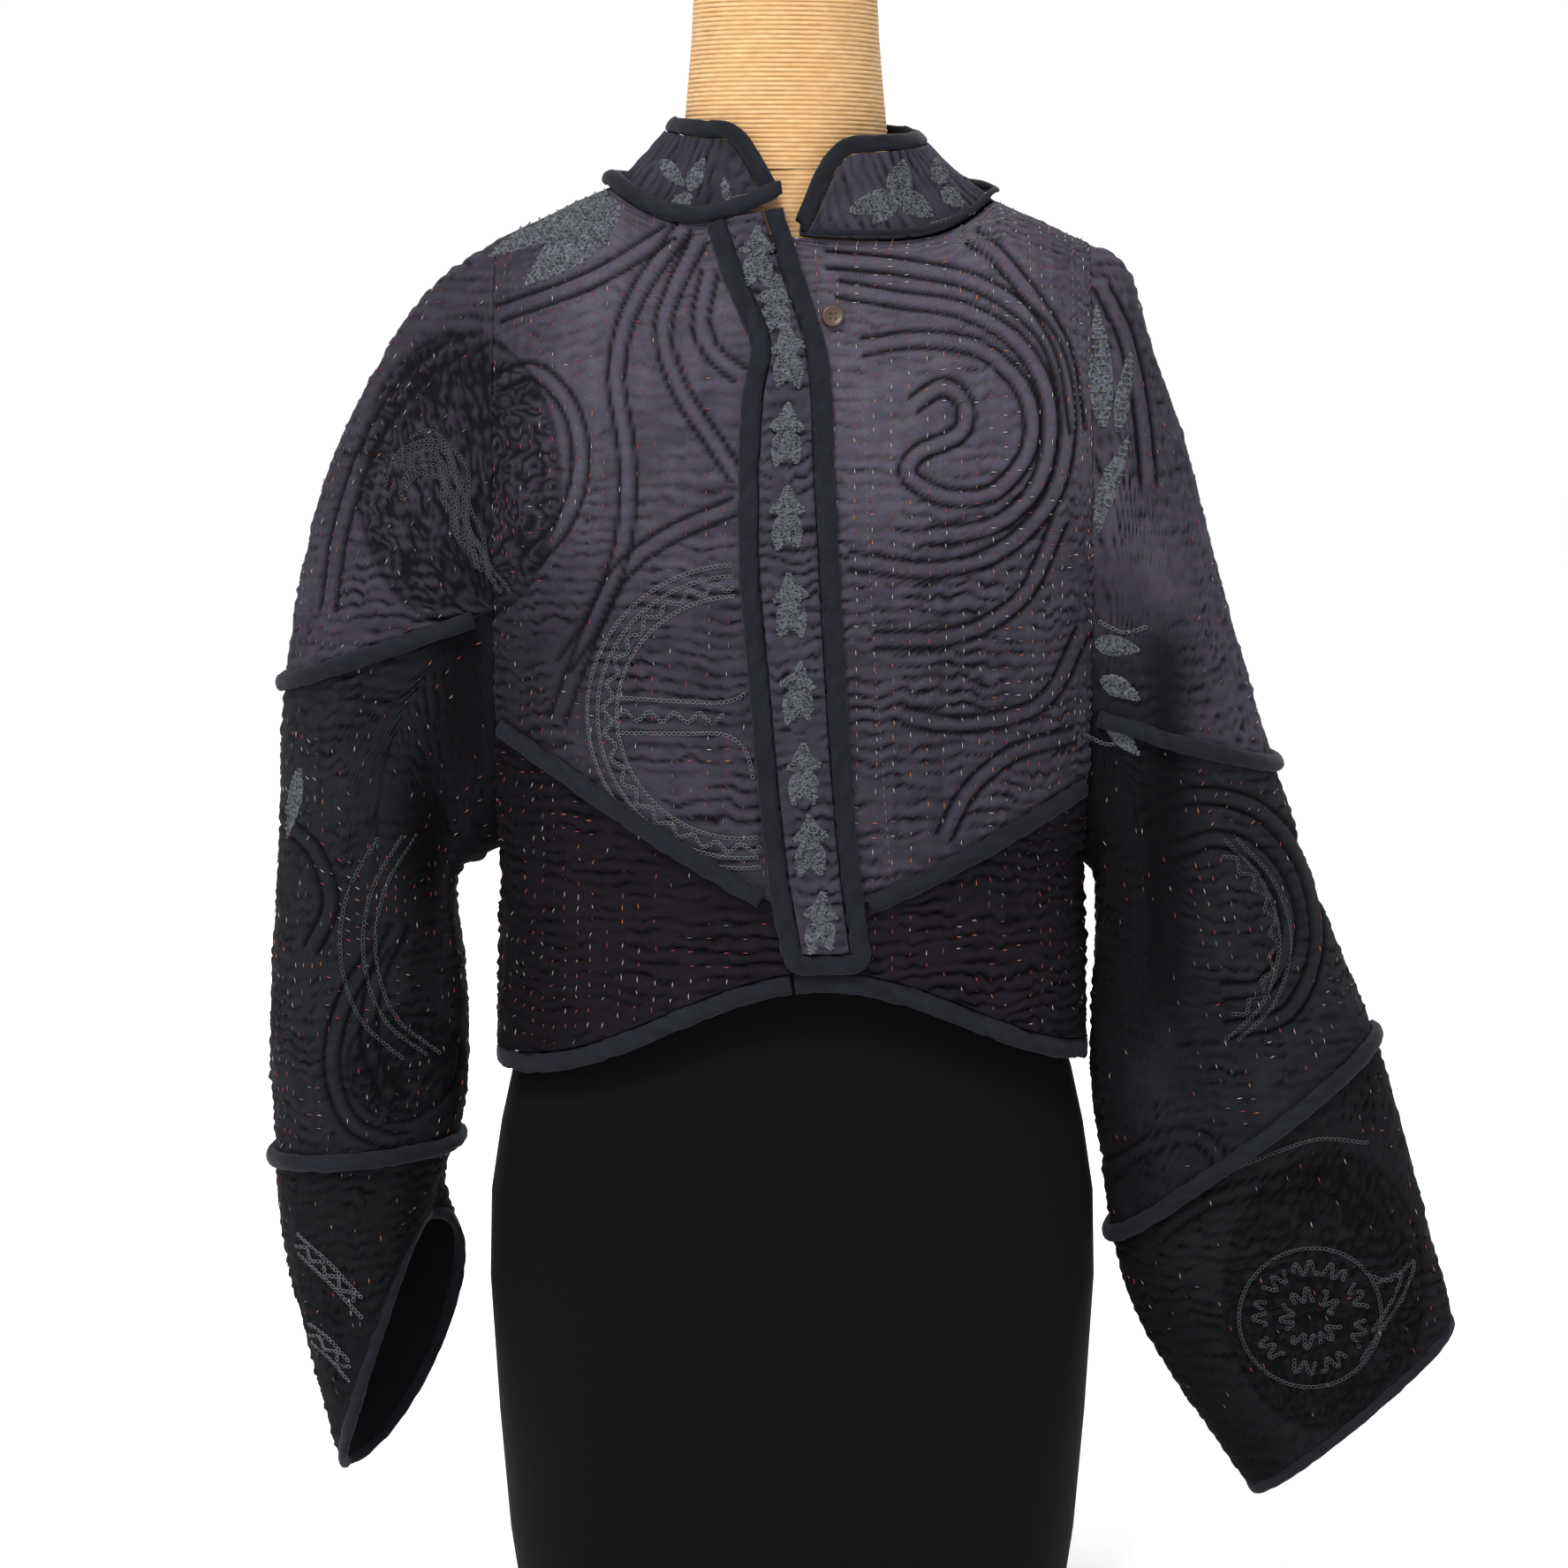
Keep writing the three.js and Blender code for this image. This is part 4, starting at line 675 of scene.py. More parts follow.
def sleeveNormal(side, turn, station):
    around = sleevePoint(side, turn + 0.05, station) - sleevePoint(side, turn - 0.05, station)
    last = sleeves[side]["last"]
    along = (sleevePoint(side, turn, np.clip(station + 0.05, 0, last))
             - sleevePoint(side, turn, np.clip(station - 0.05, 0, last)))
    return unit(np.cross(around, along) * sleeves[side]["sign"])


# the station, counted in rows of the table, where a sleeve meets a height, or a slanting seam, found by halving
def stationAt(side, turn, heightOf, least, most):
    low, high = np.full(np.shape(turn), float(least)), np.full(np.shape(turn), float(most))
    for _ in range(22):
        middle = (low + high) / 2
        point = sleevePoint(side, turn, middle)
        above = point[..., 2] > heightOf(np.abs(point[..., 0]))
        low, high = np.where(above, middle, low), np.where(above, high, middle)
    return (low + high) / 2


def seamStation(side, turn, seam):
    return stationAt(side, turn, lambda x: seam["z"] + seam["slope"] * (x - seam["x"]), seam["least"], seam["most"])


# how far round the first seam stays below a station, so that the cap ends there
def upperReach(side, direction, station):
    low, high = 0.0, np.pi
    for _ in range(24):
        middle = (low + high) / 2
        if seamStation(side, np.array(direction * middle), sleeves[side]["seams"][0]) > station:
            low = middle
        else:
            high = middle
    return direction * low


# the same turn between half a turn back and half a turn on
def wrapTurn(turn):
    return (turn + np.pi) % (2 * np.pi) - np.pi


sleeveChannels = {
    "right": [
        [(-172, 744), (-206, 726), (-236, 688), (-254, 640), (-262, 590)],
        [(-232, 400), (-252, 372), (-262, 334), (-252, 300), (-226, 286)],
        [(-222, 412), (-236, 380), (-240, 344), (-228, 312)],
        [(-296, 470), (-272, 454), (-262, 424), (-274, 396)],
    ],
    "left": [
        [(174, 772), (188, 742), (196, 704), (200, 660)],
        [(196, 470), (224, 486), (262, 478), (292, 444), (300, 400), (282, 362), (246, 352)],
        [(212, 452), (240, 462), (268, 446), (282, 412), (270, 380), (242, 374)],
        [(182, 262), (204, 282), (232, 288), (250, 268)],
        [(210, 230), (236, 250), (272, 262), (306, 262), (332, 240)],
    ],
}


def sleeveRelief(side, turn, station, room):
    point, normal = sleevePoint(side, turn, station), sleeveNormal(side, turn, station)
    s = wrapTurn(turn) * roundSleeve + patternStart[side]
    strength = 0.8 + 0.3 * softNoise(s / 60, point[..., 2] / 60, 31)
    flat = point[..., [0, 2]].reshape(-1, 2)
    high, shade = sewnRelief(flat, s, point[..., 2], strength, patternSeed["sleeve"], sleeveChannels[side],
                             medallions["sleeve"])
    # painted shade: the sleeve is darkened in its troughs, on its inner side, near the armhole low down, along its
    # fold where it faces forward and, on the left, over the inside of the underarm; the whole right sleeve is darker,
    # most of all high up
    at = readTable(sleeves[side]["table"], "at", station, "index")
    trough = readTable(sleeves[side]["table"], "trough", station, "index") / 22
    paintedShade = 0.9 * np.exp(-((np.degrees(wrapTurn(turn)) - at) / 24) ** 2) * np.clip(trough, 0, 1)
    paintedShade = np.maximum(paintedShade, 0.55 * smoothStep(-np.cos(turn), 0.35, 0.9))
    near = 0.35 * (1 - smoothStep(np.abs(point[..., 0]), 168, 205)) * (1 - smoothStep(point[..., 2], 560, 660))
    x, z, facing = point[..., 0], point[..., 2], smoothStep(-normal[..., 1], 0, 0.4)
    line = sleeves[side]["fold"]
    fold = np.exp(-((x - line["x"]) / line["width"]) ** 2) * smoothStep(z, *line["foot"]) \
        * (1 - smoothStep(z, *line["head"])) * facing
    toBody = 0  # how far the sleeve hangs in towards the body, mm
    if side == "right":
        paintedShade = 1 - (1 - paintedShade) * (0.84 - 0.16 * smoothStep(z, 560, 660))
    else:
        inner = (1 - smoothStep(x, 200, 222)) * smoothStep(z, 300, 360) * (1 - smoothStep(z, 540, 600))
        paintedShade = np.maximum(paintedShade, 0.75 * inner)
        toBody = 5 * np.clip(-normal[..., 0], 0, 1) ** 1.5 * smoothStep(z, 250, 330) * (1 - smoothStep(z, 470, 510))
    paintedShade = np.maximum(paintedShade, 0.96 * fold)
    high = (high * (1 - 0.4 * fold) - 1.6 * fold) * smoothStep(room, 4, 9) + toBody
    return point, normal, high, np.clip(shade * (1 - paintedShade) * (1 - near), 0, 1)


# turns over the cap, and turns all the way round with the seam under the arm
def sleeveTurns(side, capCount, underCount):
    capTo = sleeves[side]["capTo"]
    cap = np.linspace(upperReach(side, -1, capTo), upperReach(side, 1, capTo), capCount)
    under = np.linspace(upperReach(side, 1, 0.01), 2 * np.pi + upperReach(side, -1, 0.01), underCount)
    return cap, np.concatenate([cap, under])


# number, rows and cloth of each part, from the shoulder down
sleeveParts = {"upper": (0, 124, "cap"), "middle": (1, 176, "sleeve"), "cuff": (2, 92, "cuff")}


def makeSleeve(side):
    sleeve = sleeves[side]
    cap, whole = sleeveTurns(side, 133, 65)
    for part, (index, rows, cotton) in sleeveParts.items():
        turns = cap if part == "upper" else whole
        bounds = [np.zeros_like(turns), seamStation(side, turns, sleeve["seams"][0]),
                  seamStation(side, turns, sleeve["seams"][1]), np.full_like(turns, float(sleeve["last"]))]
        pace = np.linalg.norm(sleevePoint(side, turns, 4.1) - sleevePoint(side, turns, 3.9), axis=-1) / 0.2
        gap = 1.4 * seamGap / pace
        low = np.where(bounds[index] > 0.001, bounds[index] + gap, 0)
        high = bounds[index + 1] - (0 if part == "cuff" else gap)
        share, turn = np.meshgrid(np.linspace(0, 1, rows + 1), turns, indexing="ij")
        station = low + (high - low) * share
        ends = [np.linalg.norm(sleevePoint(side, turn, station) - sleevePoint(side, turn, b + 0 * station), axis=-1)
                for b in (bounds[index], bounds[index + 1])]
        point, normal, high, shade = sleeveRelief(side, turn, station, np.minimum(*ends))
        atArmhole = station < 0.02
        normal[atArmhole, 0] = 0
        normal = unit(normal)
        point[atArmhole, 0] = sleeve["sign"] * (body["side"] + seamGap)
        outer = point + normal * high[..., None]
        inner = (point - normal * wall)[everyFourth(rows)][:, ::4]
        name = "sleeve_" + side + "_" + part
        piece = wallMesh(name + "_cloth", outer, inner, part != "upper", shade, material=cottons[cotton],
                         slot="quilted_cotton_sleeve", replaces=[name])
        cloth[name] = {"piece": piece, "outer": outer}
        print("sewn", name, len(piece.data.polygons))


for side in sleeves:
    makeSleeve(side)


# dress form: a torso in black jersey, a neck wound with straw cord, and a beech cap and base

form = {
    "torso": {"z": [16.3, 50, 120, 200, 250, 290, 322, 370, 425, 500, 574, 640, 700, 740, 770, 790.5, 803.6, 810.7,
                    816.7, 822, 829, 836],
              "half": [160, 165, 171, 176, 175, 169, 162, 146, 130, 140, 151, 150, 150, 149, 147, 144, 139, 124,
                       111, 92, 72, 61],
              "front": [105, 110, 116, 119, 117, 110, 102, 94, 88, 98, 107, 101, 84, 75, 69, 65, 62, 60, 59, 58,
                        57, 56],
              "back": [108, 112, 116, 119, 117, 107, 99, 90, 84, 87, 92, 94, 86, 78, 70, 62, 57, 54, 52, 52, 53, 55],
              "side": [1] * 13 + [0.95, 0.78, 0.55, 0.34, 0.3, 0.4, 0.6, 1, 1]},
    "neck": {"z": [836.3, 852, 880, 910, 940], "half": [60, 58.5, 56, 53.5, 52]},
    "neckX": -4, "neckRound": 66, "neckFoot": 780, "cordPitch": 2.6, "cordHeight": 0.55,
    "cap": {"z": [940.3, 950, 957, 960], "half": [51, 51, 46, 36]},
    "base": {"z": [0, 13, 16], "half": [150, 150, 147], "front": [96, 96, 93], "back": [99, 99, 96],
             "side": [1, 1, 1]},
}


# closed rings stacked up, with a flat fan over each end
def stackMesh(name, rings, material, slot, node, tint=None):
    rows, columns = rings.shape[:2]
    middle = [rings[0].mean(0), rings[-1].mean(0)]
    points = np.vstack([rings.reshape(-1, 3), middle])
    faces = gridFaces(rows, columns, True).tolist()
    low, high = rows * columns, rows * columns + 1
    top = (rows - 1) * columns
    for c in range(columns):
        right = (c + 1) % columns
        faces += [[low, right, c], [high, top + c, top + right]]
    return addMesh(name, points, faces, material, slot, tint=tint, replaces=[node])


def torsoRings(table, heights, columns):
    turn = np.linspace(0, 2 * np.pi, columns, endpoint=False)
    linear = {key: np.interp(heights, table["z"], table[key]) for key in table}
    x = linear["half"][:, None] * np.cos(turn)
    near = np.exp(-((x / 62) ** 2))
    side = linear["side"][:, None]
    depth = np.where(np.sin(turn) < 0, linear["front"][:, None], linear["back"][:, None]) * (side + (1 - side) * near)
    return np.stack([x, depth * np.sin(turn), np.repeat(heights[:, None], columns, 1)], -1)


def neckRings(table, heights, columns, cord):
    turn = np.linspace(0, 2 * np.pi, columns, endpoint=False)
    half = np.interp(heights, table["z"], table["half"])[:, None]
    if cord:
        wound = (heights[:, None] + form["cordPitch"] * turn / (2 * np.pi)) / form["cordPitch"]
        half = half - form["cordHeight"] * (1 - np.abs(np.sin(np.pi * wound)) ** 0.8) \
            + 0.12 * softNoise(turn * 14 + 3 * np.floor(wound), wound, 71)
    return np.stack([form["neckX"] + half * np.cos(turn), half * 0.94 * np.sin(turn),
                     np.repeat(heights[:, None], columns, 1)], -1)


# fine black knit with a slight gloss where it is stretched
blackJersey = plainMaterial("blackJersey", "#070809", 0.85, 1.2, 0.25, 0.01, 0.05)
# beech turned and waxed: pale, with a soft shine
waxedBeech = plainMaterial("waxedBeech", "#c7a77c", 0.5, 6.0, 0.1)


# cord twisted from paper straw: pale and dull, with painted shade in the gaps between its turns, read from the tint
def strawMaterial():
    material, tree, shader, place = newMaterial("paperStrawCord", {"Roughness": 0.78})
    stretch = addNode(tree, "ShaderNodeMapping", {"Scale": (120, 120, 380)}, place)
    mottle = addNode(tree, "ShaderNodeTexNoise", {"Scale": 1.0, "Detail": 3.0}, {"Vector": stretch.outputs["Vector"]})
    tint = addNode(tree, "ShaderNodeAttribute", {"attribute_name": "tint"})
    cord = addNode(tree, "ShaderNodeMix", {"data_type": "RGBA", mixLow: toLinear("#6b4a28"),
                                           mixHigh: toLinear("#d2b283")}, {"Factor": tint.outputs["Fac"]})
    uneven = addNode(tree, "ShaderNodeMix", {"data_type": "RGBA", "blend_type": "MULTIPLY",
                                             mixHigh: toLinear("#cfb58c")},
                     {"Factor": mottle.outputs["Fac"], mixLow: cord.outputs[mixOut]})
    tree.links.new(uneven.outputs[mixOut], shader.inputs["Base Color"])
    return material


# painted shade along the wound cord: dark in the gaps between its turns, light on them
def cordShade(heights, columns):
    turn = np.linspace(0, 2 * np.pi, columns, endpoint=False)
    wound = (heights[:, None] + form["cordPitch"] * turn / (2 * np.pi)) / form["cordPitch"]
    return np.abs(np.sin(np.pi * wound)) ** 0.6


# the torso's cover stops at the base of the neck, which is lower in front, and the straw starts there
def makeForm():
    straw = strawMaterial()
    columns = 96
    heights = np.unique(np.concatenate([np.linspace(16.3, 776, 100), np.linspace(778, 836, 91), form["torso"]["z"]]))
    rings = torsoRings(form["torso"], heights, columns)
    shade = cordShade(heights, columns)
    fromAxis = np.hypot(rings[..., 0] - form["neckX"], rings[..., 1] * 0.9)
    atNeck = (fromAxis < form["neckRound"]) & (heights[:, None] > form["neckFoot"])
    rings[..., 1] *= 1 - 0.008 * (1 - shade) * atNeck
    torso = stackMesh("torso_jersey", rings, [blackJersey, straw], "form_jersey", "form_torso",
                      np.append(shade, [0, 0]))
    onNeck = np.append(atNeck.ravel(), [False, False])
    kinds = [int(all(onNeck[k] for k in polygon.vertices)) for polygon in torso.data.polygons]
    torso.data.polygons.foreach_set("material_index", kinds)
    heights = np.linspace(836.3, 940, 241)
    rings = neckRings(form["neck"], heights, 72, True)
    stackMesh("neck_straw", rings, straw, "form_straw_cord", "form_neck", np.append(cordShade(heights, 72), [1, 1]))
    capHeights = np.array([940.3, 941.5, 950, 953, 955.5, 957.6, 959.2, 960])
    stackMesh("neck_cap", neckRings(form["cap"], capHeights, 96, False), waxedBeech, "form_wood", "form_neck_cap")
    baseHeights = np.array([0, 1, 13, 14.5, 16])
    stackMesh("foot", torsoRings(form["base"], baseHeights, 128), waxedBeech, "form_wood", "form_base")
    print("form built")


makeForm()


# cords and bindings: bias strips that wrinkle a little across their run

trim = {"bindingThick": 5, "wrinkle": 0.28, "wrinkleMm": 5.5, "cuffWidth": 7.6, "cuffBeyond": 2.8}
cords = {"waist": (11, 5.7, 0.45), "sleeve": (10, 7.0, -0.55), "neck": (10, 7.5, 1.4)}  # width, height and lift


# sideways and outward directions along a run
def runFrames(points, normals, closed):
    before = np.roll(points, 1, axis=0) if closed else np.vstack([points[:1], points[:-1]])
    after = np.roll(points, -1, axis=0) if closed else np.vstack([points[1:], points[-1:]])
    run = unit(after - before)
    side = unit(np.cross(run, normals))
    return side, unit(np.cross(side, run))


# a domed cord, flat where it lies on the cloth
def cordSection(width, height, lift):
    turn = np.linspace(-0.16 * np.pi, 1.16 * np.pi, 15)
    across, up = np.cos(turn) * width / 2, np.sin(turn)
    return np.stack([across, lift + height * np.clip(0.42 + 0.52 * up, 0, 1)], -1)


def bindingSection(width, thick, across, out):
    turn = np.linspace(0, 2 * np.pi, 16, endpoint=False)
    blunt = lambda value: np.sign(value) * np.abs(value) ** 0.8
    return np.stack([across + blunt(np.cos(turn)) * width / 2, out + blunt(np.sin(turn)) * thick / 2], -1)


# a cord or binding along points; its section is across and out from the cloth, and swell scales it
def barMesh(name, points, normals, section, closed, node, swell=1.0):
    side, out = runFrames(points, normals, closed)
    run = np.concatenate([[0], np.cumsum(np.linalg.norm(np.diff(points, axis=0), axis=1))])
    middle = section.mean(0)
    k = np.arange(len(section))
    wrinkles = trim["wrinkle"] * softNoise(run[:, None] / trim["wrinkleMm"] + k * 0.35,
                                           k * 0.5 + run[:, None] / 60, 5)
    fade = np.ones_like(run) if closed else smoothStep(np.minimum(run, run[-1] - run), 0, 8)
    size = 1 + wrinkles * fade[:, None] / (np.ptp(section[:, 1]) / 2) - 0.02
    offset = middle + (section - middle) * size[..., None] * swell
    rings = points[:, None] + side[:, None] * offset[..., :1] + out[:, None] * offset[..., 1:]
    rows, columns = rings.shape[:2]
    flat = rings.reshape(-1, 3)
    faces = gridFaces(rows, columns, True)
    if closed:
        last = (rows - 1) * columns + k
        nextK = (k + 1) % columns
        faces = np.vstack([faces, np.stack([last, (rows - 1) * columns + nextK, nextK, k], -1)]).tolist()
    else:
        faces = faces.tolist() + [k[::-1].tolist(), ((rows - 1) * columns + k).tolist()]
    # painted shade: the binding's tint is darker where a wrinkle dips in and lighter where it swells
    shade = np.clip(0.62 + 1.2 * wrinkles / trim["wrinkle"] * 0.25, 0, 1)
    piece = addMesh(name, flat, facedOut(flat, faces), cottons["binding"], "bias_binding", tint=shade,
                    replaces=[node])
    cloth[node] = {"piece": piece}


# turns about 2 mm apart
def densely(start, end):
    return np.linspace(start, end, max(3, int(abs(end - start) * roundBody / 2)))


def makeWaistCords():
    nearSide = math.asin((body["side"] - 5) / body["side"])
    runs = [("waist_cord_right", "frontRight", -nearSide, math.asin(-17 / body["side"])),
            ("waist_cord_left", "frontLeft", math.asin(42 / body["side"]), nearSide),
            ("waist_cord_back", "back", -nearSide, nearSide)]
    for name, panel, start, end in runs:
        x = body["side"] * np.sin(densely(start, end))
        points, normals = onBody(panel, x, waistSeam(panel, x), 0 * x)
        barMesh(name + "_cotton", points, normals, cordSection(*cords["waist"]), False, name)


def makeHemBindings():
    side, middle = np.pi / 2 - 0.008, 0.006
    runs = [("hem_binding_right", "frontRight", -side, -middle), ("hem_binding_left", "frontLeft", middle, side),
            ("hem_binding_back", "back", -side, side)]
    for name, panel, start, end in runs:
        angle = densely(start, end)
        reach = hemLine(panel, body["side"] * np.sin(angle))
        section = bindingSection(hem["binding"], trim["bindingThick"], 0, -wall / 2)
        barMesh(name + "_cotton", bodyPoint(panel, angle, reach), bodyNormal(panel, angle, reach), section, False,
                name)


# front band, its binding and the button

band = {"bottom": 1.7, "top": 4.8, "end": 397, "bend": 6.5, "bindingThick": 4.2}


def bandTop(x):
    return 804 + 9.5 * np.clip((x + 44) / 34, 0, 1)


def bandGrid(rows, columns, lift, rough):
    inset = hem["binding"] / 2 + 3 * seamGap
    up, across = np.meshgrid(np.linspace(0, 1, rows + 1), np.linspace(0, 1, columns + 1), indexing="ij")
    z = band["end"] + inset + 200 * up
    for _ in range(3):
        right, left = readTable(bandEdge, "right", z), readTable(bandEdge, "left", z)
        x = right + inset + (left - right - 2 * inset) * across
        z = band["end"] + inset + (bandTop(x) - band["end"] - inset) * up
    high, shade = quiltRelief(x * 1.4 + 3000, z, 1.2, patternSeed["band"])
    room = np.minimum(np.minimum(across, 1 - across), 0.2) * 5
    high = (high * smoothStep(room, 0, 0.5) - 0.2) * rough
    return onBody("frontRight", x, z, lift + high)[0], shade


def makeBand():
    outer, shade = bandGrid(230, 20, band["top"], 1)
    inner = bandGrid(58, 5, band["bottom"], 0)[0]
    piece = wallMesh("front_band_cloth", outer, inner, False, shade, material=cottons["collar"],
                     slot="quilted_cotton_band", replaces=["front_band"])
    cloth["front_band"] = {"piece": piece, "outer": outer}
    bend, end = band["bend"], band["end"]
    turn = np.linspace(0, np.pi / 2, 8)
    topRight = float(bandTop(readTable(bandEdge, "right", 802)))
    topLeft = float(bandTop(readTable(bandEdge, "left", 812)))
    down, up = np.linspace(topRight, end + bend + 1, 200), np.linspace(end + bend + 1, topLeft, 204)
    right, left = float(readTable(bandEdge, "right", end)), float(readTable(bandEdge, "left", end))
    flat = np.vstack([
        np.stack([readTable(bandEdge, "right", down), down], -1),
        np.stack([right + bend * (1 - np.cos(turn)), end + bend * (1 - np.sin(turn))], -1),
        np.stack([np.linspace(right + bend + 2, left - bend - 2, 10), np.full(10, end)], -1),
        np.stack([left - bend * (1 - np.sin(turn)), end + bend * (1 - np.cos(turn))], -1),
        np.stack([readTable(bandEdge, "left", up), up], -1)])
    flat = evenly(flat, 2)
    lift = np.full(len(flat), (band["bottom"] + band["top"]) / 2)
    points, normals = onBody("frontRight", flat[:, 0], flat[:, 1], lift)
    section = bindingSection(hem["binding"], band["bindingThick"], 0, 0)
    barMesh("front_band_edge", points, normals, section, False, "front_band_binding")


button = {"x": 22, "z": 754, "radius": 6.3, "thick": 3, "hole": 0.6, "holeGap": 1.5,
          "profile": [(0.86, 0), (1, 0.35), (0.985, 0.75), (0.9, 0.97), (0.8, 1), (0.68, 0.9), (0.5, 0.82), (0, 0.8)]}


# horn: dark warm brown with streaks 2.5 mm apart and a soft polish
def hornMaterial():
    material, tree, shader, place = newMaterial("brownHorn", {"Roughness": 0.42, "Specular IOR Level": 0.5})
    streaks = addNode(tree, "ShaderNodeTexNoise", {"Scale": 1000 / 2.5, "Detail": 3.0}, place)
    colour = addNode(tree, "ShaderNodeMix", {"data_type": "RGBA", mixLow: toLinear("#22140e"),
                                             mixHigh: toLinear("#452c20")}, {"Factor": streaks.outputs["Fac"]})
    tree.links.new(colour.outputs[mixOut], shader.inputs["Base Color"])
    return material


def makeButton():
    place, normal = onBody("frontLeft", np.array([button["x"]]), np.array([button["z"]]), np.array([1.0]))
    place, normal = place[0], normal[0]
    side = unit(np.cross(normal, [0, 0, 1]))
    up = np.cross(side, normal)
    turn = np.linspace(0, 2 * np.pi, 48, endpoint=False)
    rings = []
    for share, height in button["profile"]:
        radius = max(share, 0.01) * button["radius"]
        flat = side * (np.cos(turn) * radius)[:, None] + up * (np.sin(turn) * radius)[:, None]
        rings.append(place + flat + normal * height * button["thick"])
    stackMesh("button_horn", np.array(rings), hornMaterial(), "horn_button", "button")
    holes, faces = [], []
    for dx, dy in ((1, 1), (1, -1), (-1, 1), (-1, -1)):
        middle = place + (side * dx + up * dy) * button["holeGap"] + normal * (0.83 * button["thick"])
        ring = middle + side * (np.cos(turn[::4]) * button["hole"])[:, None] \
            + up * (np.sin(turn[::4]) * button["hole"])[:, None]
        start = len(holes)
        holes += ring.tolist()
        faces.append(list(range(start, start + len(ring))))
    addMesh("button_thread", holes, faces, threads["dark"], smooth=False)


# collar: turn is 0 at the middle of the front and grows to the wearer's right, round the back

collar = {"x": 2, "half": 70, "front": 64, "back": 65, "rightZ": 867, "leftZ": 859, "backZ": 864, "round": 52,
          "start": math.radians(8), "end": math.radians(361)}


# the neck edge of the body, or a line a little below it on the panels
def neckline(turn, below=0):
    x = neck["x"] - neck["half"] * np.sin(turn)
    end = shoulder["end"]
    right, left, back = (bodyPoint(panel, angleAt(x, end), end - below) for panel in panelNames)
    front, early = (np.cos(turn) > 0)[..., None], (turn < np.pi)[..., None]
    return np.where(front & early, right, np.where(front, left, back))


def collarTop(turn):
    front = np.cos(turn) > 0
    sideZ = np.where(turn < np.pi, collar["rightZ"], collar["leftZ"])
    middleZ = np.where(front, sideZ - 6, collar["backZ"])
    return np.stack([collar["x"] - collar["half"] * np.sin(turn),
                     np.where(front, -collar["front"], -collar["back"]) * np.cos(turn),
                     sideZ + (middleZ - sideZ) * np.abs(np.cos(turn))], -1)


def collarHeight(turn):
    near = np.clip(np.minimum(turn - collar["start"], collar["end"] - turn) * neck["half"] / collar["round"], 0, 1)
    return np.sin(near * np.pi / 2) ** 0.8


def collarPoint(turn, rise):
    turn, rise = np.broadcast_arrays(np.asarray(turn, float), np.asarray(rise, float))
    base, top = neckline(turn), collarTop(turn)
    point = base + (top - base) * rise[..., None]
    bow = 4 * np.sin(np.pi * np.clip(rise, 0, 1))
    point[..., 0] += bow * np.sin(turn) * 0.8
    point[..., 1] += bow * np.cos(turn) * 0.6
    return point


def collarNormal(turn, rise):
    around = collarPoint(turn + 0.03, rise) - collarPoint(turn - 0.03, rise)
    up = collarPoint(turn, rise + 0.04) - collarPoint(turn, rise - 0.04)
    normal = unit(np.cross(up, around))
    outward = np.stack([-np.sin(turn), -np.cos(turn), 0 * turn], -1)
    return normal * np.where((normal * outward).sum(-1, keepdims=True) < 0, -1, 1)


def collarPlaces(turn):
    height = np.linalg.norm(collarTop(turn) - neckline(turn), axis=-1)
    foot = 1.8 / height
    return foot, np.maximum(collarHeight(turn) - (hem["binding"] - 1.2) / height, foot + 1.6 / height)


def makeCollar():
    turns = np.linspace(collar["start"], collar["end"], 281)
    foot, head = collarPlaces(turns)
    share, turn = np.meshgrid(np.linspace(0, 1, 21), turns, indexing="ij")
    rise = foot + (head - foot) * share
    point, normal = collarPoint(turn, rise), collarNormal(turn, rise)
    high, shade = quiltRelief(share * 30 + 4000, turn * 92, 0.7, patternSeed["collar"])
    room = np.minimum(share, 1 - share)
    outer = point + normal * (high * smoothStep(room, 0, 0.15))[..., None]
    inner = (point - normal * wall)[::5, ::4]
    # painted shade: the collar is darker on the wearer's right than on the left
    shade = shade * (0.8 + 0.3 * smoothStep(point[..., 0], -30, 60))
    piece = wallMesh("collar_cloth", outer, inner, False, shade, material=cottons["collar"],
                     slot="quilted_cotton_collar", replaces=["collar"])
    cloth["collar"] = {"piece": piece, "outer": outer}
    width = hem["binding"] - 1.5
    normals = collarNormal(turns, head)
    edge = collarPoint(turns, head) - normals * wall / 2
    side = runFrames(edge, normals, False)[0]
    upward = np.sign(side[len(side) // 2][2])
    section = bindingSection(width, trim["bindingThick"], upward * (width / 2 + 2 * seamGap), 0)
    barMesh("collar_edge", edge, normals, section, False, "collar_binding")


def makeNeckCord():
    turn = np.linspace(collar["start"] - math.radians(2), collar["end"] - math.radians(3), 300)
    point, below, above = neckline(turn), neckline(turn, 7), collarPoint(turn, 0.1)
    run = unit(neckline(turn + 0.05) - neckline(turn - 0.05))
    normal = unit(np.cross(above - below, run))
    bridge = (above + below) / 2
    ridge = np.maximum(0, ((point - bridge) * normal).sum(-1, keepdims=True))
    # the cord thins out on the wearer's left, in front
    flatter = 1 - 0.62 * smoothStep(point[:, 0], -12, 4) * smoothStep(np.cos(turn), -0.5, 0)
    barMesh("neck_cord_cotton", bridge + normal * ridge, normal, cordSection(*cords["neck"]), False, "neck_cord",
            swell=flatter[:, None, None])


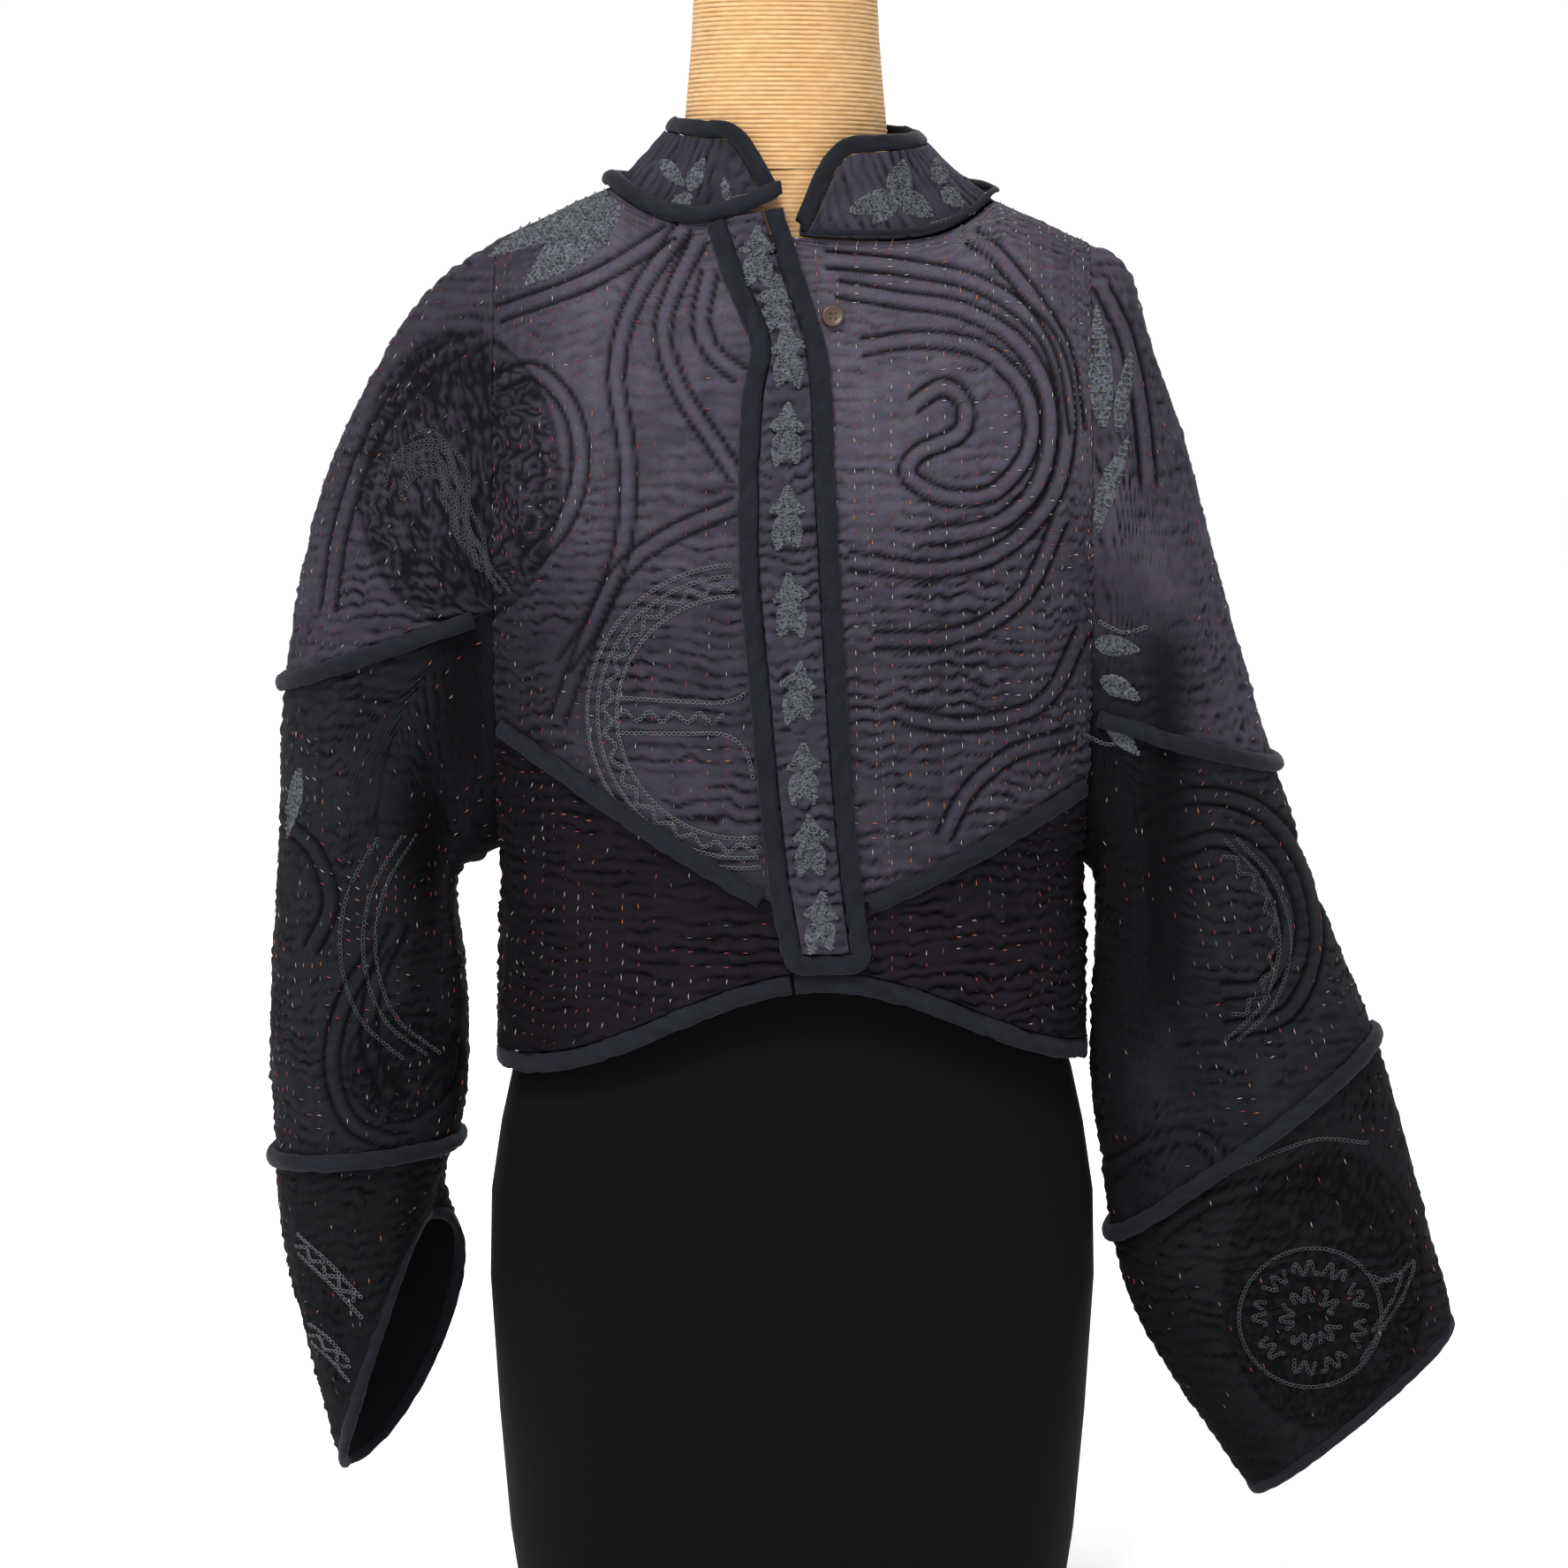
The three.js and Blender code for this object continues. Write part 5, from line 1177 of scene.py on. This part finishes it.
def makeSleeveTrim(side):
    sleeve = sleeves[side]
    half = np.linspace(upperReach(side, -1, 0.6), upperReach(side, 1, 0.6), 170)
    whole = sleeveTurns(side, 150, 110)[1]
    for index, turns in enumerate((half, whole)):
        station = seamStation(side, turns, sleeve["seams"][index])
        name = "sleeve_" + side + "_cord_" + str(index + 1)
        barMesh(name + "_cotton", sleevePoint(side, turns, station), sleeveNormal(side, turns, station),
                cordSection(*cords["sleeve"]), index == 1, name)
    last = np.full_like(whole, float(sleeve["last"]))
    normals = sleeveNormal(side, whole, last)
    edge = sleevePoint(side, whole, last) - normals * wall / 2
    sideways = runFrames(edge, normals, True)[0]
    outward = sleevePoint(side, 0, sleeve["last"]) - sleevePoint(side, 0, sleeve["last"] - 0.5)
    middle = int(np.argmin(np.abs(whole)))
    beyond = np.sign(sideways[middle] @ outward)
    section = bindingSection(trim["cuffWidth"], trim["bindingThick"], beyond * trim["cuffBeyond"], 0)
    barMesh("cuff_edge_" + side, edge, normals, section, True, "cuff_binding_" + side)


makeWaistCords()
makeHemBindings()
makeBand()
makeButton()
makeCollar()
makeNeckCord()
for side in sleeves:
    makeSleeveTrim(side)
print("cords, bindings, band, collar and button made")


# running stitches: short dashes of thread, most of them upright, in columns about 10 mm apart, and a
# little coarser than the real ones so that they show

stitching = {"length": 4.2, "half": 0.3, "stand": 0.4, "column": 9.6, "lift": 0.25, "jitter": 0.6,
             "bodyRows": (345, 846), "sleeveRows": (96, 792), "sleeveTurn": 0.104}
threadShares = {  # shares of pale, red, orange and grey thread, and how many of the stitches show
    "frontRight": ([0.2, 0.5, 0.05, 0.25], 0.5), "frontLeft": ([0.48, 0.22, 0.16, 0.14], 0.8),
    "back": ([0.35, 0.35, 0.1, 0.2], 0.7), "lower": ([0.25, 0.5, 0.1, 0.15], 0.75),
    "sleeve": ([0.22, 0.34, 0.06, 0.38], 0.55),
}
threadKeys = ["pale", "red", "orange", "grey"]
greyThread = 3


# each stitch is a small eight-sided spindle
def addDashes(name, middles, runs, normals, kinds, settings=stitching):
    across = unit(np.cross(normals, runs))
    half = settings["length"] / 2
    corners = np.stack([
        middles - runs * half + normals * 0.05,
        middles + runs * half + normals * 0.05,
        middles + across * settings["half"] + normals * 0.12,
        middles - across * settings["half"] + normals * 0.12,
        middles + normals * settings["stand"],
        middles - normals * 0.25], 1)
    quads = np.array([[0, 2, 4], [0, 4, 3], [0, 3, 5], [0, 5, 2], [1, 4, 2], [1, 3, 4], [1, 5, 3], [1, 2, 5]])
    faces = (np.arange(len(middles))[:, None, None] * 6 + quads[:, ::-1]).reshape(-1, 3)
    return addMesh(name, corners.reshape(-1, 3), faces, [threads[key] for key in threadKeys],
                   kinds=np.repeat(kinds, 8))


# which stitches show, and the number of each one's thread
def pickStitches(s, t, shares, seed):
    random = np.random.RandomState(seed)
    mix, shown = shares
    density = shown + 0.45 * softNoise(s / 38, t / 38, seed + 7)
    keep = random.uniform(0, 1, s.shape) < density
    bands = np.cumsum(mix) + 0.22 * softNoise(s / 60, t / 50, seed + 9)[..., None] * np.array([1, 0, 0, 0])
    return keep, (random.uniform(0, 1, s.shape)[..., None] > bands[..., :3]).sum(-1)


# places on the ripples, which way each stitch runs (up, or along where lying is true), and the way out
def sewnPlaces(reliefAt, upStep, sideStep, lying):
    places, outward = [], None
    for step in ((0, 0), (0, upStep), (sideStep, 0)):
        point, normal, high = reliefAt(*step)[:3]
        places.append(point + normal * (high + stitching["lift"])[..., None])
        outward = normal if outward is None else outward
    return places[0], unit(np.where(lying[:, None], places[2] - places[0], places[1] - places[0])), outward


def stitchBody(panel, part):
    random = np.random.RandomState(len(panel) + len(part))
    sides = {"frontRight": (-1.5, 0.0), "frontLeft": (-0.05, 1.5), "back": (-1.5, 1.5)}[panel]
    column = stitching["column"] / roundBody
    angle, row = np.meshgrid(np.arange(sides[0], sides[1], column),
                             np.arange(*stitching["bodyRows"], quilting["pitch"]))
    angle = angle + 0.012 * softNoise(angle * 8, row / 30, 3)
    s = roundBody * angle + patternStart[panel]
    reach = row + rowWander(s, row, patternSeed["body"]) + quilting["pitch"] / 2
    reach = reach + random.uniform(-stitching["jitter"], stitching["jitter"], row.shape)
    flatX = body["side"] * np.sin(angle)
    seam = waistSeam(panel, flatX)
    room = np.where(part == "upper", reach - seam, seam - reach)
    start, end = panelSpan(panel, reach)
    inside = (angle > start + 0.03) & (angle < end - 0.03) & (room > 8) & (reach < stitching["bodyRows"][1])
    inside &= (reach > hemLine(panel, flatX) + 9) if part == "lower" else True
    keep, kinds = pickStitches(s, reach, threadShares["lower" if part == "lower" else panel], 17)
    inside &= keep & (random.uniform(0, 1, row.shape) > 0.6 * smoothStep(np.abs(angle), 0.95, 1.25))
    angle, reach, room, kinds = angle[inside], reach[inside], room[inside], kinds[inside]
    half = 0 * angle + 0.5
    lying = softNoise(s[inside] / 40, reach / 34, 23) > (0.25 if part == "lower" else 0.5)
    middles, runs, outward = sewnPlaces(
        lambda along, up: panelRelief(panel, angle + along, reach + up, room, half, half), 1.0, 0.007, lying)
    name = panelNames[panel] + "_" + part
    cloth[name]["trims"] = [addDashes(name + "_stitches", middles, runs, outward, kinds)]


def stitchSleeve(side):
    random = np.random.RandomState(9)
    row, turn = np.meshgrid(np.arange(*stitching["sleeveRows"], quilting["pitch"]),
                            np.arange(-np.pi, np.pi, stitching["sleeveTurn"]), indexing="ij")
    turn = turn + 0.02 * softNoise(turn * 4, row / 30, 5)
    s = turn * roundSleeve + patternStart[side]
    z = row + rowWander(s, row, patternSeed["sleeve"]) + quilting["pitch"] / 2
    z = z + random.uniform(-stitching["jitter"], stitching["jitter"], row.shape)
    last = sleeves[side]["last"]
    station = stationAt(side, turn, lambda x: z, 0, last)
    seams = [seamStation(side, turn, seam) for seam in sleeves[side]["seams"]]
    room = np.minimum(np.abs(station - seams[0]), np.abs(station - seams[1]))
    inside = (station > 0.12) & (station < last - 0.15) & (room > 0.14)
    keep, kinds = pickStitches(s, z, threadShares["sleeve"], 27)
    # share of stitches left out: most on the cuffs, and nearly all in the left sleeve's fold
    rare = np.where(station > seams[1], 0.72, 0.3)
    if side == "left":
        rare = np.maximum(rare, 0.85 * (sleevePoint(side, turn, station)[..., 0] < 226))
    inside &= keep & (random.uniform(0, 1, row.shape) > rare)
    turn, station, kinds, z = turn[inside], station[inside], kinds[inside], z[inside]
    lying = softNoise(s[inside] / 40, z / 34, 29) > 0.35
    clear = 99 + 0 * turn  # no seam is near
    middles, runs, outward = sewnPlaces(
        lambda along, down: sleeveRelief(side, turn + along, station + down, clear), -0.02, 0.01, lying)
    bounds = [0, seams[0][inside], seams[1][inside], last]
    for part, (index, _, _) in sleeveParts.items():
        here = (station > bounds[index]) & (station < bounds[index + 1])
        name = "sleeve_" + side + "_" + part
        cloth[name]["trims"] = [
            addDashes(name + "_stitches", middles[here], runs[here], outward[here], kinds[here])]


for panel in panelNames:
    for part in ("upper", "lower"):
        stitchBody(panel, part)
for side in sleeves:
    stitchSleeve(side)
print("running stitches sewn")


# chain stitch and leaves, laid on the sewn cloth from the front or from behind

def clothTree():
    points, faces, start = [], [], 0
    for item in cloth.values():
        if "outer" in item:
            grid = item["outer"]
            rows, columns = grid.shape[:2]
            closed = rows > 60 and np.linalg.norm(grid[0, 0] - grid[0, -1]) < 30  # sleeves meet their own edge
            faces.append(gridFaces(rows, columns, bool(closed), start))
            points.append(grid.reshape(-1, 3))
            start += rows * columns
    return BVHTree.FromPolygons(np.vstack(points).tolist(), np.vstack(faces).tolist())


sewnCloth = clothTree()
castFrom = 420  # mm in front of the form or behind it


# the places and outward directions of flat points x, z on the cloth; None where they miss it
def castOn(flat, behind=False):
    facing = -1 if behind else 1
    hits = []
    for x, z in flat:
        place, normal = sewnCloth.ray_cast(Vector((x, -castFrom * facing, z)), Vector((0, facing, 0)))[:2]
        if place is None:
            hits.append(None)
        else:
            hits.append((np.array(place), np.array(normal if normal.y * facing < 0 else -normal)))
    return hits


chain = {"link": 3.2, "half": 1.0, "thick": 0.42, "lift": 0.35, "steps": 6, "overlap": 0.82, "farthest": 7}


# chain stitch: a row of thread loops along a line of flat points
def chainLinks(flat, behind=False):
    hits = castOn(evenly(np.asarray(flat, float), chain["link"] * chain["overlap"]), behind)
    links = []
    for a, b in zip(hits[:-1], hits[1:]):
        if a and b and np.linalg.norm(b[0] - a[0]) <= chain["farthest"]:
            links.append((a[0], b[0], unit(a[1] + b[1])))
    return links


def addChains(name, links, material):
    steps, sides = chain["steps"], [(0.0, 1.0), (0.87, -0.5), (-0.87, -0.5)]
    turn = np.linspace(0, 2 * np.pi, steps + 1)[:-1]
    points, faces = [], []
    for a, b, normal in links:
        run = unit(b - a)
        side = np.cross(normal, run)
        middle = (a + b) / 2 + normal * chain["lift"]
        start = len(points)
        for t in turn:
            along, across = math.cos(t) * chain["link"] * 0.4, math.sin(t) * chain["half"] * (1 - 0.25 * math.cos(t))
            spot = middle + run * along + side * across
            out = run * math.cos(t) + side * math.sin(t)
            points += [spot + out * u * chain["thick"] + normal * v * chain["thick"] for u, v in sides]
        for k in range(steps):
            here, following = start + k * 3, start + (k + 1) % steps * 3
            faces += [[here + j, here + (j + 1) % 3, following + (j + 1) % 3, following + j] for j in range(3)]
    return addMesh(name, points, faces, material)


def arc(centre, radius, start, end):
    angles = np.radians(np.arange(start, end, 2.5))
    return np.stack([centre[0] + radius * np.cos(angles), centre[1] + radius * np.sin(angles)], -1)


def zigzag(line, reach, pitch):
    line = evenly(np.asarray(line, float), pitch)
    run = unit(np.gradient(line, axis=0))
    side = np.stack([-run[:, 1], run[:, 0]], -1)
    return line + side * (reach * np.where(np.arange(len(line)) % 2, 1, -1))[:, None]


# leaves filled with close loops of thread, each from its root to its tip
leafLook = {"lift": 0.8, "rows": 15, "columns": 8, "loopsPerMm2": 0.22,
            "loop": {"length": 2.6, "half": 0.4, "stand": 0.5}}


def leafShape(root, tip, width):
    root, tip = np.array(root, float), np.array(tip, float)
    run = tip - root
    side = unit(np.array([-run[1], run[0]]))
    along, across = np.meshgrid(np.linspace(0, 1, leafLook["rows"]), np.linspace(-1, 1, leafLook["columns"]),
                                indexing="ij")
    half = width / 2 * np.sin(np.pi * np.clip(along, 0.02, 0.985) ** 0.72) ** 0.8
    return root + run * along[..., None] + side * (half * across)[..., None]


def addLeaves(name, leaves, material, behind=False):
    points, faces, dots = [], [], []
    random = np.random.RandomState(len(leaves))
    for root, tip, width in leaves:
        flat = leafShape(root, tip, width).reshape(-1, 2)
        hits = castOn(flat, behind)
        start = len(points)
        for k, hit in enumerate(hits):
            edge = k % leafLook["columns"] in (0, leafLook["columns"] - 1)
            lift = 0.1 if edge else leafLook["lift"] + random.uniform(-0.25, 0.25)
            points.append(hit[0] + hit[1] * lift if hit else np.zeros(3))
        for face in gridFaces(leafLook["rows"], leafLook["columns"], False):
            if all(hits[k] for k in face) and np.ptp([hits[k][0][1] for k in face]) < 9:
                faces.append([start + k for k in face])
        count = int(np.linalg.norm(np.subtract(tip, root)) * width * leafLook["loopsPerMm2"])
        spots = leafShape(root, tip, width * 0.92)
        for _ in range(count):
            r, c = random.randint(1, leafLook["rows"] - 1), random.randint(0, leafLook["columns"] - 1)
            mix = random.uniform(0, 1)
            dots.append(spots[r, c] * mix + spots[r, min(c + 1, leafLook["columns"] - 1)] * (1 - mix))
    used = sorted({k for face in faces for k in face})
    index = {k: n for n, k in enumerate(used)}
    piece = addMesh(name, [points[k] for k in used], [[index[k] for k in face] for face in faces], material)
    hits = [hit for hit in castOn(dots, behind) if hit]
    middles = np.array([place + normal * 0.95 for place, normal in hits])
    normals = np.array([normal for _, normal in hits])
    angles = random.uniform(0, np.pi, len(middles))
    level = unit(np.cross(normals, np.array([0, 0, 1.0])))
    runs = level * np.cos(angles)[:, None] + np.cross(normals, level) * np.sin(angles)[:, None]
    loops = addDashes(name + "_loops", middles, runs, normals, np.full(len(middles), greyThread), leafLook["loop"])
    return [piece, loops]


leafPale = loopedMaterial("paleLoopedThread", "#53575e", "#17181c", 1.9)

leafForks = {  # root, tip and width of each leaf, seen from the front
    "shoulder": [((-100, 826), (-172, 788), 20), ((-98, 818), (-150, 772), 26)],
    "collar_right": [((-74, 842), (-60, 826), 9), ((-58, 824), (-49, 843), 9), ((-56, 822), (-72, 812), 9),
                     ((-32, 816), (-46, 808), 7), ((-36, 816), (-20, 822), 6), ((-36, 818), (-38, 832), 6)],
    "collar_left": [((58, 822), (30, 812), 13), ((58, 819), (44, 805), 10), ((58, 820), (62, 842), 15),
                    ((60, 822), (79, 810), 14), ((84, 828), (81, 844), 11), ((84, 826), (98, 815), 10),
                    ((98, 832), (104, 842), 8)],
    "sleeve_left": [((174, 693), (171, 762), 14), ((182, 690), (190, 736), 9), ((170, 640), (188, 688), 11),
                    ((172, 634), (176, 672), 6)],
    "sleeve_right": [((-279, 500), (-288, 458), 9)],
    "roll": [((170, 572), (196, 568), 12), ((174, 552), (196, 540), 12), ((178, 526), (196, 508), 10)],
}
backForks = {
    "back_shoulder": [((-100, 812), (-150, 778), 18), ((-98, 806), (-128, 768), 18), ((104, 806), (150, 772), 18),
                      ((100, 800), (126, 762), 16)],
    "back_yoke": [((0, 800), (-30, 780), 13), ((0, 800), (30, 780), 13), ((0, 792), (0, 762), 12),
                  ((0, 756), (-28, 738), 12), ((0, 756), (28, 738), 12)],
    "back_sleeve": [((176, 690), (178, 750), 13), ((190, 640), (206, 690), 12), ((-200, 700), (-186, 750), 13),
                    ((-216, 660), (-208, 710), 12)],
}
pairHeights = [787, 760, 733, 690, 645, 598, 550, 505, 465, 421]


def pairMiddle(z):
    return float(readTable(bandEdge, "right", z) + readTable(bandEdge, "left", z)) / 2


# pairs of leaves down the front band, each over a small leaf on the same stem
def makeBandLeaves():
    leaves, stems = [], []
    for k, z in enumerate(pairHeights):
        x = pairMiddle(z)
        lean = 1.5 * math.sin(2.3 * k)
        leaves += [((x + 1, z + 7), (x - 10, z + 3 + lean), 8), ((x - 1, z + 7), (x + 10, z + 4 - lean), 8),
                   ((x, z - 3), (x + lean, z + 18), 12), ((x - 1, z + 2), (x - 6, z - 18), 11),
                   ((x + 1, z + 2), (x + 6, z - 17 + lean), 11)]
        stems += chainLinks([(x, z + 2), (pairMiddle(z - 14), z - 16)])
    cloth["front_band"]["trims"] = addLeaves("front_band_leaves", leaves, leafPale) \
        + [addChains("front_band_stems", stems, threads["grey"])]


def makeForks():
    for forks, behind in ((leafForks, False), (backForks, True)):
        for name, leaves in forks.items():
            addLeaves("leaves_" + name, leaves, leafPale, behind)


# a ring of chain stitch round two rings of short wavy lines
def medallionThread(centre, radius, seed, behind=False):
    random = np.random.RandomState(seed)
    links = chainLinks(arc(centre, radius, 0, 365), behind)
    for ring, count in ((0.34, 5), (0.72, 9)):
        for k in range(count):
            start = 360 / count * k + random.uniform(0, 12)
            track = arc(centre, 1, start, start + 360 / count * 0.8)
            wave = radius * (ring + 0.11 * np.sin(np.linspace(0, 4 * np.pi, len(track)) + random.uniform(0, 6)))
            links += chainLinks(np.array(centre) + (track - centre) * wave[:, None], behind)
    return links


# three rings of chain stitch with a zigzag between two of them, and a band across the middle
def bandedCircle(centre, radius, start, end, behind=False):
    links = []
    for share in (1.0, 0.93, 0.8):
        links += chainLinks(arc(centre, radius * share, start, end), behind)
    links += chainLinks(zigzag(arc(centre, radius * 0.865, start, end), 3.2, 7), behind)
    return links


# chain stitch along smooth lines, each given by a few points
def worked(lines):
    return [link for line in lines for link in chainLinks(smoothLine(line))]


# copies of a line, each moved to the wearer's right
def shifted(line, offsets):
    return [[(x - offset, z) for x, z in line] for offset in offsets]


# the banded ring on the wearer's right front, which runs under the band
def frontRings():
    x, z = -30, 535
    rings = bandedCircle((x, z), 84, 78, 292)
    for height, curl in ((10, 14), (-10, -26)):
        rings += worked([[(x - 68, z + height), (x - 30, z + height * 0.9), (x - 8, z + height * 0.9),
                          (x + 4, z + height + curl * 0.3), (x + 9, z + height + curl)]])
    rings += chainLinks(zigzag([(x - 70, z), (x, z)], 3.4, 7))
    return [link for link in rings if max(link[0][0], link[1][0]) < readTable(bandEdge, "right", link[0][2]) - 7]


# strands of thread that sweep round the wearer's right cap, closer together towards its inside
def capSweep():
    sweep = smoothLine([(-231, 650), (-226, 678), (-206, 690), (-187, 678), (-180, 650), (-172, 622), (-158, 596)])
    inward = np.array([-206, 652]) - sweep
    share = np.linspace(0, 1, len(sweep))[:, None]
    random = np.random.RandomState(8)
    strands = []
    for k in range(9):
        wave = 1.3 * np.sin(9 * share * np.pi + random.uniform(0, 6)) + random.uniform(-1, 1)
        strand = sweep + inward * (0.04 + 0.075 * k) * (1 - 0.3 * share) + wave
        strands += chainLinks(strand[int(random.uniform(0, 0.3) * len(strand)):])
    return strands


def makeChainWork():
    addChains("chain_front_right", frontRings(), threads["grey"])
    addChains("chain_front_left", worked([[(78, 806), (100, 812), (122, 818)], [(84, 801), (106, 806), (128, 812)],
                                          [(92, 796), (122, 800)]]), threads["grey"])
    cuffLines = [[(330, 208), (344, 204), (358, 214), (352, 196), (338, 176), (326, 158)],
                 [(334, 202), (350, 208), (344, 192), (332, 174)], [(236, 262), (262, 276), (298, 288), (330, 284)]]
    addChains("chain_cuff_left", medallionThread((297, 184), 41, 4) + worked(cuffLines), threads["dim"])
    oval = worked(shifted([(250, 462), (272, 437), (283, 404), (274, 369), (252, 346)], (0, 7)))
    oval += chainLinks(zigzag(smoothLine([(244, 454), (264, 432), (273, 404), (265, 374), (246, 356)]), 3, 7))
    addChains("chain_sleeve_left", oval, threads["dim"])
    curves = worked(shifted([(-214, 462), (-231, 431), (-236, 396), (-226, 360), (-200, 333)], (0, 7, 20)))
    addChains("chain_sleeve_right", curves + capSweep(), threads["dim"])
    cuff = []
    for low, high in (((-284, 232), (-246, 196)), ((-278, 178), (-254, 158))):
        line = smoothLine([low, ((low[0] + high[0]) / 2, (low[1] + high[1]) / 2 + 3), high])
        cuff += chainLinks(line) + chainLinks(line - [0, 12]) + chainLinks(zigzag(line - [0, 6], 3, 6))
    addChains("chain_cuff_right", cuff, threads["grey"])
    roll = worked([[(x - 24, z), (x - 10, z - 6), (x + 4, z - 2)] for x, z in ((196, 584), (188, 520))])
    addChains("chain_roll", roll, threads["grey"])
    back = bandedCircle((44, 520), 78, -40, 220, True) + medallionThread((-60, 640), 40, 12, True)
    back += bandedCircle((-235, 380), 44, 0, 360, True) + bandedCircle((262, 400), 46, 0, 360, True)
    addChains("chain_back", back, threads["grey"])


topstitching = {"step": 4.6, "length": 3.0, "half": 0.35, "stand": 0.35}


# two close rows of topstitching down the left armhole, and one down the edge beside the band
def makeTopstitching():
    for name, flat in (("armhole_left_rows", [(161, 803), (161, 672)]),
                       ("armhole_left_rows_2", [(157.5, 803), (157.5, 690)]),
                       ("edge_left_rows", [(36, 776), (39, 700), (43, 600), (50, 500), (54, 446)])):
        hits = [hit for hit in castOn(evenly(smoothLine(flat), topstitching["step"])) if hit]
        middles = np.array([place + normal * 0.2 for place, normal in hits])
        normals = np.array([normal for _, normal in hits])
        addDashes(name, middles, unit(np.gradient(middles, axis=0)), normals, np.full(len(hits), greyThread),
                  topstitching)


makeBandLeaves()
makeForks()
makeChainWork()
makeTopstitching()
print("leaves and chain stitch worked")


# room, light and camera

room = {"floor": "#ffffff", "sky": "#ffffff", "skyStrength": 1.03,
        "target": (-0.0048, 0, 0.486), "distance": 2.6, "elevation": 6, "spanAtTarget": 0.905, "sensor": 36,
        "lamps": {"window": ((-0.7, -1.7, 3.0), 0.9, 95, "#fff8f0"), "fill": ((-2.6, -1.2, 1.4), 1.6, 12, "#dfe8ff"),
                  "rim": ((0.6, 2.4, 2.4), 1.4, 40, "#ffffff")}}


def makeFloor():
    bpy.ops.mesh.primitive_plane_add(size=30, location=(0, 0, 0))
    floor = bpy.context.object
    floor.name = "floor"
    floor.data.materials.append(plainMaterial("palePaper", room["floor"], 0.9))


# a square soft light, aimed at the middle of the form
def makeLamp(name, place, size, power, colour):
    lamp = bpy.data.lights.new(name, "AREA")
    lamp.energy, lamp.size, lamp.color = power, size, toLinear(colour)[:3]
    holder = bpy.data.objects.new(name, lamp)
    holder.location = place
    holder.rotation_euler = (Vector((0, 0, 0.5)) - Vector(place)).to_track_quat("-Z", "Y").to_euler()
    bpy.context.scene.collection.objects.link(holder)


def makeRoom():
    makeFloor()
    world = bpy.data.worlds.new("studio")
    world.use_nodes = True
    sky = world.node_tree.nodes["Background"]
    sky.inputs["Color"].default_value = toLinear(room["sky"])
    sky.inputs["Strength"].default_value = room["skyStrength"]
    bpy.context.scene.world = world
    bpy.context.scene.view_settings.view_transform = "Standard"
    for name, lamp in room["lamps"].items():
        makeLamp(name, *lamp)


def makeCamera():
    camera = bpy.data.objects.new("camera", bpy.data.cameras.new("camera"))
    tilt = math.radians(room["elevation"])
    target = Vector(room["target"])
    back = Vector((0, -math.cos(tilt), math.sin(tilt)))
    camera.location = target + back * room["distance"]
    camera.rotation_euler = (-back).to_track_quat("-Z", "Y").to_euler()
    camera.data.sensor_width = room["sensor"]
    camera.data.lens = room["sensor"] * room["distance"] / room["spanAtTarget"]
    camera.data.clip_end = 60
    bpy.context.scene.collection.objects.link(camera)
    bpy.context.scene.camera = camera


makeRoom()
makeCamera()
